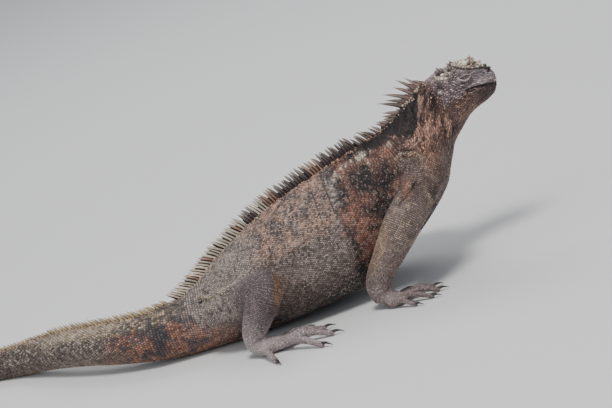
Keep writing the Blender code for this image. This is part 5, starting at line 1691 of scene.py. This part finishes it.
def spine(base, up, along, tall, length, width, bend, blunt, tones, seed):
    """One curved spine, flat from side to side and ridged along, with its colours."""
    side = up.cross(along).normalized()
    points, colour = [], []
    draw = random.Random(seed)
    own = math.exp(draw.gauss(0, 0.20))
    phase = draw.uniform(0, 3)
    body, dark, pale = tones
    for i in range(SPINE_RINGS):
        share = 0.97 * i / (SPINE_RINGS - 1)
        centre = base + up * tall * share + along * bend * share**2
        size = (1 - 0.12 * share - 0.88 * share**blunt) * (1 + 0.06 * math.sin(share * 11 + phase))
        for j in range(SPINE_SIDES):
            angle = math.tau * j / SPINE_SIDES
            groove = 1.0 if j % 2 == 0 else 0.84
            on, out = length / 2 * size * math.cos(angle), width / 2 * size * math.sin(angle)
            points.append(centre + along * (on * groove) + side * (out * groove))
            # Painted shade darkens the flanks towards the neighbours and the base, and a painted highlight
            # lightens the outer face towards the tip.
            facing = abs(math.sin(angle))
            value = dark + (body - dark) * facing**1.6
            value = value + (pale - value) * (0.65 * max(0.0, share - 0.25) * facing)
            colour.append(value * own * (0.62 + 0.50 * share) * draw.uniform(0.85, 1.15))
    points.append(base + up * tall + along * (bend + length * 0.12))
    colour.append(pale * 0.7 * own)
    top = (SPINE_RINGS - 1) * SPINE_SIDES
    faces = tube_faces(SPINE_RINGS, SPINE_SIDES)
    faces += [(top + j, top + k, len(points) - 1) for j, k in neighbours(SPINE_SIDES)]
    return points, faces, colour


def make_crest(tree, paths, scales):
    """The spines, and the lumps that line their bases, which join the scales."""
    random.seed(11)
    line, along = midline()
    points, faces, colour, roots = [], [], [], []
    for number, (distance, tall, length, width, lean, word, blunt) in enumerate(crest_rows()):
        place, heading, across, normal = place_on(line, along, distance * MM)
        turn = math.radians(lean)
        up = (normal * math.cos(turn) + heading * math.sin(turn)).normalized()
        up = (up + across * random.uniform(-0.05, 0.05)).normalized()
        flat = (heading - up * heading.dot(up)).normalized()
        place = drop(tree, place, normal)[0] or place
        sizes = (tall + SPINE_ROOT) * MM, length * MM, width * MM, tall * 0.15 * MM
        made = spine(place - up * SPINE_ROOT * MM, up, flat, *sizes, blunt, SPINE_TONES[word], number)
        faces += [tuple(len(points) + k for k in f) for f in made[1]]
        points += [tuple(p) for p in made[0]]
        colour += made[2]
        roots += [tuple(place)] * len(made[0])
    crest_lumps(line, along, tree, scales)
    points, centre = np.array(points), np.array(roots)
    uv = Places(centre, paths).uv + (points - centre)[:, [0, 2]] * 0.15
    crest = mesh_object("crest", points, np.array(faces), np.array(colour), uv)
    face_outwards(crest.data)
    return crest


def crest_lumps(line, along, tree, scales):
    """Low cones in two rows on each side of the spines' bases."""
    rows = []
    distance = 2.0
    while distance < 700:
        on_nape = distance < 62
        size = 3.0 if on_nape or distance >= CREST_TAIL else 2.4
        for side in (-1, 1):
            wander = random.uniform(-0.5, 0.5)
            place, heading, across, normal = place_on(line, along, (distance + wander) * MM)
            for row in (0, 1):
                reach = (2.1 if on_nape else 1.6) + 2.1 * row + random.uniform(-0.7, 0.7)
                at = place + across * side * reach * MM + heading * row * size * 0.5 * MM
                spot_at, out = drop(tree, at, normal)
                if spot_at is None or random.random() < 0.25:
                    continue
                wide = size * (1.0 - 0.20 * row) * random.uniform(0.5, 1.25)
                rows.append((*spot_at, *out, *heading, wide * MM))
        distance += size * 0.92
    rows = np.array(rows)
    spots, normals, ways, sizes = rows[:, :3], rows[:, 3:6], rows[:, 6:9], rows[:, 9]
    scales.add(spots, normals, ways, sizes * 1.05, sizes, sizes * 0.62, "lump")


def make_claw(name, limb, digit):
    """A curved claw, out of the end of the digit and down to the floor, darker to its tip."""
    base, tip, _, thick, length = digit
    side, shift = limb.side, limb.shift
    out = Vector((tip[0] - base[0], side * (abs(tip[1]) - abs(base[1])), 0)).normalized()
    start = Vector((tip[0] + shift[0], side * (abs(tip[1]) + shift[1]), thick * 0.80))
    rows = []
    for share, rise, radius in CLAW:
        at = start + out * length * share
        at.z += rise * thick * 0.5
        rows.append((at.x * MM, at.y * MM, at.z * MM, thick * radius * MM, thick * radius * 0.86 * MM))
    end = start + out * length
    end.z = max(0.55, thick * 0.42)
    end = end * MM
    rows.append((end.x, end.y, end.z + 0.2 * MM, thick * 0.09 * MM, thick * 0.07 * MM))
    path = curve_through(rows, 0.7 * MM)
    out = (Vector(path[2, :3]) - Vector(path[0, :3])).normalized()
    level = Vector((-out.y, out.x, 0)).normalized()
    lift = level.cross(out)
    lift = lift if lift.z > 0 else -lift
    rings = []
    for i, row in enumerate(path):
        ring = []
        ripple = 1 + 0.025 * math.sin(i * 2.1)
        for j in range(CLAW_SIDES):
            angle = math.tau * j / CLAW_SIDES
            keel = 1.0 + 0.10 * max(0.0, math.sin(angle)) ** 4
            under = 0.86 if math.sin(angle) < -0.5 else 1.0
            wide = level * row[4] * math.cos(angle) * ripple
            ring.append(Vector(row[:3]) + wide + lift * row[3] * math.sin(angle) * keel * under * ripple)
        rings.append(ring)
    obj = loft(name, rings, Vector(path[0, :3]) - out * 0.2 * MM, end)
    soften(obj.data)
    points = points_of(obj.data)
    points[:, 2] = np.maximum(points[:, 2], 0.1 * MM)
    set_points(obj.data, points)
    share = np.linalg.norm(points - points[0], axis=1)
    grain = noise(points * (1, 1, 2.5), 1.4 * MM, 83)
    colour = mix(tone(70, 62, 60), tone(34, 28, 28), ramp(share / share.max(), 0.15, 0.7))
    tint(obj.data, colour * (0.8 + 0.5 * grain)[:, None])
    return obj


# The line of a claw: share of its length, rise and thickness.
CLAW = ((-0.28, 0.10, 0.42), (0.0, 0.35, 0.42), (0.34, 0.50, 0.31), (0.72, -0.05, 0.18))
CLAW_SIDES = 14
EYE_RINGS = 56
EYE_TURNS = 96
IRIS = 2.9
PUPIL = 1.15
GAZE = 0.12


def make_eye(name, side):
    """The eyeball: a bulging cornea over a dark iris with fine rays, turned a little forwards."""
    rays = np.random.default_rng(SEED + side).normal(0, 1, EYE_TURNS)
    rays = np.convolve(np.tile(rays, 3), np.ones(3) / 3, "same")[EYE_TURNS : 2 * EYE_TURNS]
    cos, sin = math.cos(GAZE), math.sin(GAZE)
    points, colour = [], []
    for i in range(1, EYE_RINGS):
        polar = math.pi * i / EYE_RINGS
        out, reach = math.cos(polar), math.sin(polar)
        radius = EYE_RADIUS + 0.34 * math.exp(-((polar / 0.52) ** 4)) - 0.05
        for j in range(EYE_TURNS):
            angle = math.tau * j / EYE_TURNS
            x, z = reach * math.cos(angle), reach * math.sin(angle)
            points.append((radius * (x * cos + out * sin), radius * side * (out * cos - x * sin), radius * z))
            from_middle = radius * reach if out > 0 else 99.0
            if from_middle < PUPIL:
                value = tone(10, 8, 8)
            elif from_middle < IRIS:
                t = (from_middle - PUPIL) / (IRIS - PUPIL)
                value = tone(74, 60, 54) * (0.66 + 0.16 * rays[j]) * (1 - 0.55 * t)
                value = value + tone(158, 138, 120) * max(0.0, 0.35 - abs(t - 0.1))
            else:
                value = tone(40, 31, 31) * (0.8 + 0.1 * rays[j])
            colour.append(value)
    for pole, radius, value in (
        (1, EYE_RADIUS + 0.29, tone(10, 8, 8)),
        (-1, EYE_RADIUS - 0.05, tone(40, 30, 28)),
    ):
        points.append((radius * pole * sin, radius * side * pole * cos, 0))
        colour.append(value)
    faces = tube_faces(EYE_RINGS - 1, EYE_TURNS)
    first, last = len(points) - 2, len(points) - 1
    end = (EYE_RINGS - 2) * EYE_TURNS
    for j, k in neighbours(EYE_TURNS):
        faces += [(first, k, j), (last, end + j, end + k)]
    places = eye_centre(side) + np.array(points) * MM
    eye = mesh_object(name, places, np.array(faces), np.array(colour))
    face_outwards(eye.data)
    return eye


# ---------------------------------------------------------------- materials


def new_material(name):
    material = bpy.data.materials.new(name)
    material.use_nodes = True
    return material, material.node_tree.nodes["Principled BSDF"]


def feed(node, **inputs):
    """Sets the named inputs of a node to values, or links them to outputs of other nodes."""
    for name, value in inputs.items():
        socket = node.inputs[name.replace("_", " ")]
        if isinstance(value, bpy.types.NodeSocket):
            node.id_data.links.new(value, socket)
        else:
            socket.default_value = value
    return node


def add_node(shader, kind, **inputs):
    """A new node in the material of the shader."""
    return feed(shader.id_data.nodes.new("ShaderNode" + kind), **inputs)


def spread_of(shader, noise_node, low, high):
    """The noise, stretched from low to high."""
    span = {"From Min": 0.3, "From Max": 0.7, "To Min": low, "To Max": high}
    return add_node(shader, "MapRange", Value=noise_node.outputs["Fac"], **span).outputs["Result"]


def coat_material(name, grain, strength, rough_low, rough_high, spread=0.18):
    """Takes the markings from the tint of the points and breaks them up with fine noise."""
    material, shader = new_material(name)
    marks = add_node(shader, "Attribute")
    marks.attribute_name = "tint"
    place = add_node(shader, "TexCoord").outputs["Object"]
    speck = add_node(shader, "TexNoise", Vector=place, Scale=grain, Detail=3.0)
    shade = spread_of(shader, speck, 1 - spread, 1 + spread)
    vary = add_node(shader, "VectorMath")
    vary.operation = "SCALE"
    feed(vary, Vector=marks.outputs["Color"], Scale=shade)
    grit = add_node(shader, "TexNoise", Vector=place, Scale=grain * 1.9, Detail=2.0)
    bump = add_node(shader, "Bump", Strength=strength, Distance=0.25 * MM, Height=grit.outputs["Fac"])
    feed(
        shader,
        Base_Color=vary.outputs["Vector"],
        Roughness=spread_of(shader, speck, rough_low, rough_high),
        Normal=bump.outputs["Normal"],
        Specular_IOR_Level=0.35,
    )
    return material


def eye_material():
    material = coat_material("eye", 900, 0.0, 0.05, 0.09, 0.08)
    shader = material.node_tree.nodes["Principled BSDF"]
    feed(shader, Coat_Weight=1.0, Coat_Roughness=0.02, Specular_IOR_Level=0.5)
    return material


# ---------------------------------------------------------------- putting it together

# The camera's distance, the width that it sees there and half the floor's side, in metres.
CAMERA_REACH = 3.0
PHOTO_WIDTH = 0.612
FLOOR_REACH = 6.0
# How many scales of each kind one piece holds.
CHUNK = {"keel": 19000, "plate": 15000, "dome": 30000, "cone": 10000}


def finish_piece(obj, material, nodes=()):
    obj.data.materials.clear()
    obj.data.materials.append(material)
    obj.data.transform(Matrix.Translation(SHIFT))
    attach(obj, "root")
    if nodes:
        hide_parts(*nodes)


def flesh_nodes():
    names = ["head", "neck", "torso", "tail_base", "tail_middle", "tail_end"]
    for word in ("right", "left"):
        names += [f"{part}_{word}" for part in ("upper_arm", "forearm", "hand", "thigh", "shank", "foot")]
    return names


def add_camera():
    """The photo's view: rolled with the slope of its rock, and looking a little down."""
    roll, rise = math.radians(20), math.radians(14)
    target = Vector((74.37, 0, 105.43)) * MM + SHIFT
    back = Vector((0, -math.cos(rise), math.sin(rise)))
    level = Vector((0, 0, 1)).cross(back).normalized()
    turned = Matrix((level, back.cross(level), back)).transposed() @ Matrix.Rotation(-roll, 3, "Z")
    camera = linked("camera", bpy.data.cameras.new("camera"))
    camera.matrix_world = Matrix.Translation(target + back * CAMERA_REACH) @ turned.to_4x4()
    camera.data.sensor_width = 36
    camera.data.lens = 36 * CAMERA_REACH / PHOTO_WIDTH
    bpy.context.scene.camera = camera


def add_light(name, place, energy, size, colour=(1, 1, 1)):
    data = bpy.data.lights.new(name, "AREA")
    data.energy = energy
    data.shape = "DISK"
    data.size = size
    data.color = colour
    obj = linked(name, data)
    way = (Vector((0.02, 0, 0.08)) + SHIFT - Vector(place)).normalized()
    obj.matrix_world = Matrix.Translation(Vector(place)) @ way.to_track_quat("-Z", "Y").to_matrix().to_4x4()


def add_studio():
    """A plain pale floor, a soft sky and three large soft lights."""
    mesh = bpy.data.meshes.new("floor")
    corners = [(x * FLOOR_REACH, y * FLOOR_REACH, 0) for x, y in ((-1, -1), (1, -1), (1, 1), (-1, 1))]
    mesh.from_pydata(corners, [], [(0, 1, 2, 3)])
    floor = linked("floor", mesh)
    material, shader = new_material("floor")
    speck = add_node(shader, "TexNoise", Scale=2.0)
    grey = add_node(shader, "MapRange", Value=speck.outputs["Fac"], To_Min=0.74, To_Max=0.78)
    grey = dict.fromkeys(("Red", "Green", "Blue"), grey.outputs["Result"])
    feed(shader, Base_Color=add_node(shader, "CombineColor", **grey).outputs["Color"], Roughness=0.9)
    mesh.materials.append(material)
    world = bpy.data.worlds.new("world")
    bpy.context.scene.world = world
    world.use_nodes = True
    feed(world.node_tree.nodes["Background"], Color=(0.86, 0.90, 0.96, 1), Strength=0.50)
    add_light("key", (0.3, -1.1, 2.5), 50, 0.8, (1.0, 0.97, 0.93))
    add_light("fill", (-1.8, -1.6, 1.2), 10, 1.8, (0.90, 0.95, 1.0))
    add_light("rim", (0.2, 1.7, 1.8), 18, 1.2)


def dress_scales(scales, paths, painted):
    """Fits the scales to neck and face, colours them and joins them into pieces."""
    roots, normals, ahead, length, width, height, kinds = scales.joined()
    x, _, z = roots.T / MM
    # On the neck the scales are low and drawn out along its wrinkles, on the face low and slim.
    neck = on_neck(x, z, (188, 200), (100, 116), (-244, -237)) * (kinds == "keel")
    face = ramp(x + 0.25 * (z - 150), 238, 244) * (kinds == "keel")
    ahead = ahead + (np.array((WRINKLES[1], 0.0, WRINKLES[0])) - ahead) * (neck > 0.5)[:, None]
    length = length * (1 + 0.45 * neck + 0.15 * face)
    width = width * (1 - 0.15 * neck - 0.08 * face)
    height = height * (1 - 0.40 * neck - 0.25 * face)
    places = Places(roots, paths)
    colour, pale = colours(roots, places, painted)
    # The lumps beside the crest: tan and rust with dark gaps, crusted on the nape, grey on the tail.
    lumpy = kinds == "lump"
    base = Paint("tan", len(roots))
    base.lay("crust", 0.7 * ramp(x, 165, 185))
    base.lay("rust", 0.5 * ramp(lumps(roots / MM, 8, 91), 0.55, 0.8))
    gaps = lumps(roots / MM, 3.6, 93) + 0.10 * ramp(x, 165, 185)
    base.lay("char", 0.85 * ramp(gaps, 0.56, 0.68))
    base.lay("tail grey", 0.5 * ramp(-x, 90, 200))
    colour = np.where(lumpy[:, None], 0.25 * colour + 0.75 * base.colour, colour)
    kinds = np.where(lumpy, "cone", kinds)
    coat = coat_material("coat", 1500, 0.35, 0.42, 0.68)
    number = 0
    for kind, most in CHUNK.items():
        chosen = np.nonzero(kinds == kind)[0]
        for start in range(0, len(chosen), most):
            part = chosen[start : start + most]
            data = [values[part] for values in (roots, normals, ahead, length, width, height)]
            looks = colour[part], pale[part], places.uv[part]
            finish_piece(scale_mesh(f"scales_{kind}_{number}", kind, data, *looks), coat)
            number += 1


low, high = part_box("eye_right")
SHIFT = (low + high) / 2 - Vector((EYE_CENTRE[0], -EYE_CENTRE[1], EYE_CENTRE[2])) * MM
add_camera()
add_studio()

paths = ring_paths()
skin = make_skin()
skin_points = points_of(skin.data)
skin_tree = tree_from(skin)
painted = [(drape(skin_tree, line, 1), *rest) for line, *rest in PAINTED]
colour, _ = colours(skin_points, Places(skin_points, paths), painted)
tint(skin.data, skin_colour(skin_points, colour))

scales, skin_tree = place_scales(skin, paths)
crest = make_crest(skin_tree, paths, scales)
dress_scales(scales, paths, painted)
finish_piece(crest, coat_material("spines", 1300, 0.4, 0.45, 0.7, 0.25))
finish_piece(skin, coat_material("hide", 1100, 0.5, 0.55, 0.8), flesh_nodes())
claw = coat_material("claw", 1400, 0.3, 0.25, 0.5, 0.2)
eye = eye_material()
for limb in LIMBS:
    for i, digit in enumerate(limb.digits):
        name = f"{limb.end}_{limb.word}_{i + 1}"
        finish_piece(make_claw("nail_" + name, limb, digit), claw, ("claw_" + name,))
    if limb.kind == "leg":
        node = "eye_" + limb.word
        finish_piece(make_eye("ball_" + limb.word, limb.side), eye, (node,))
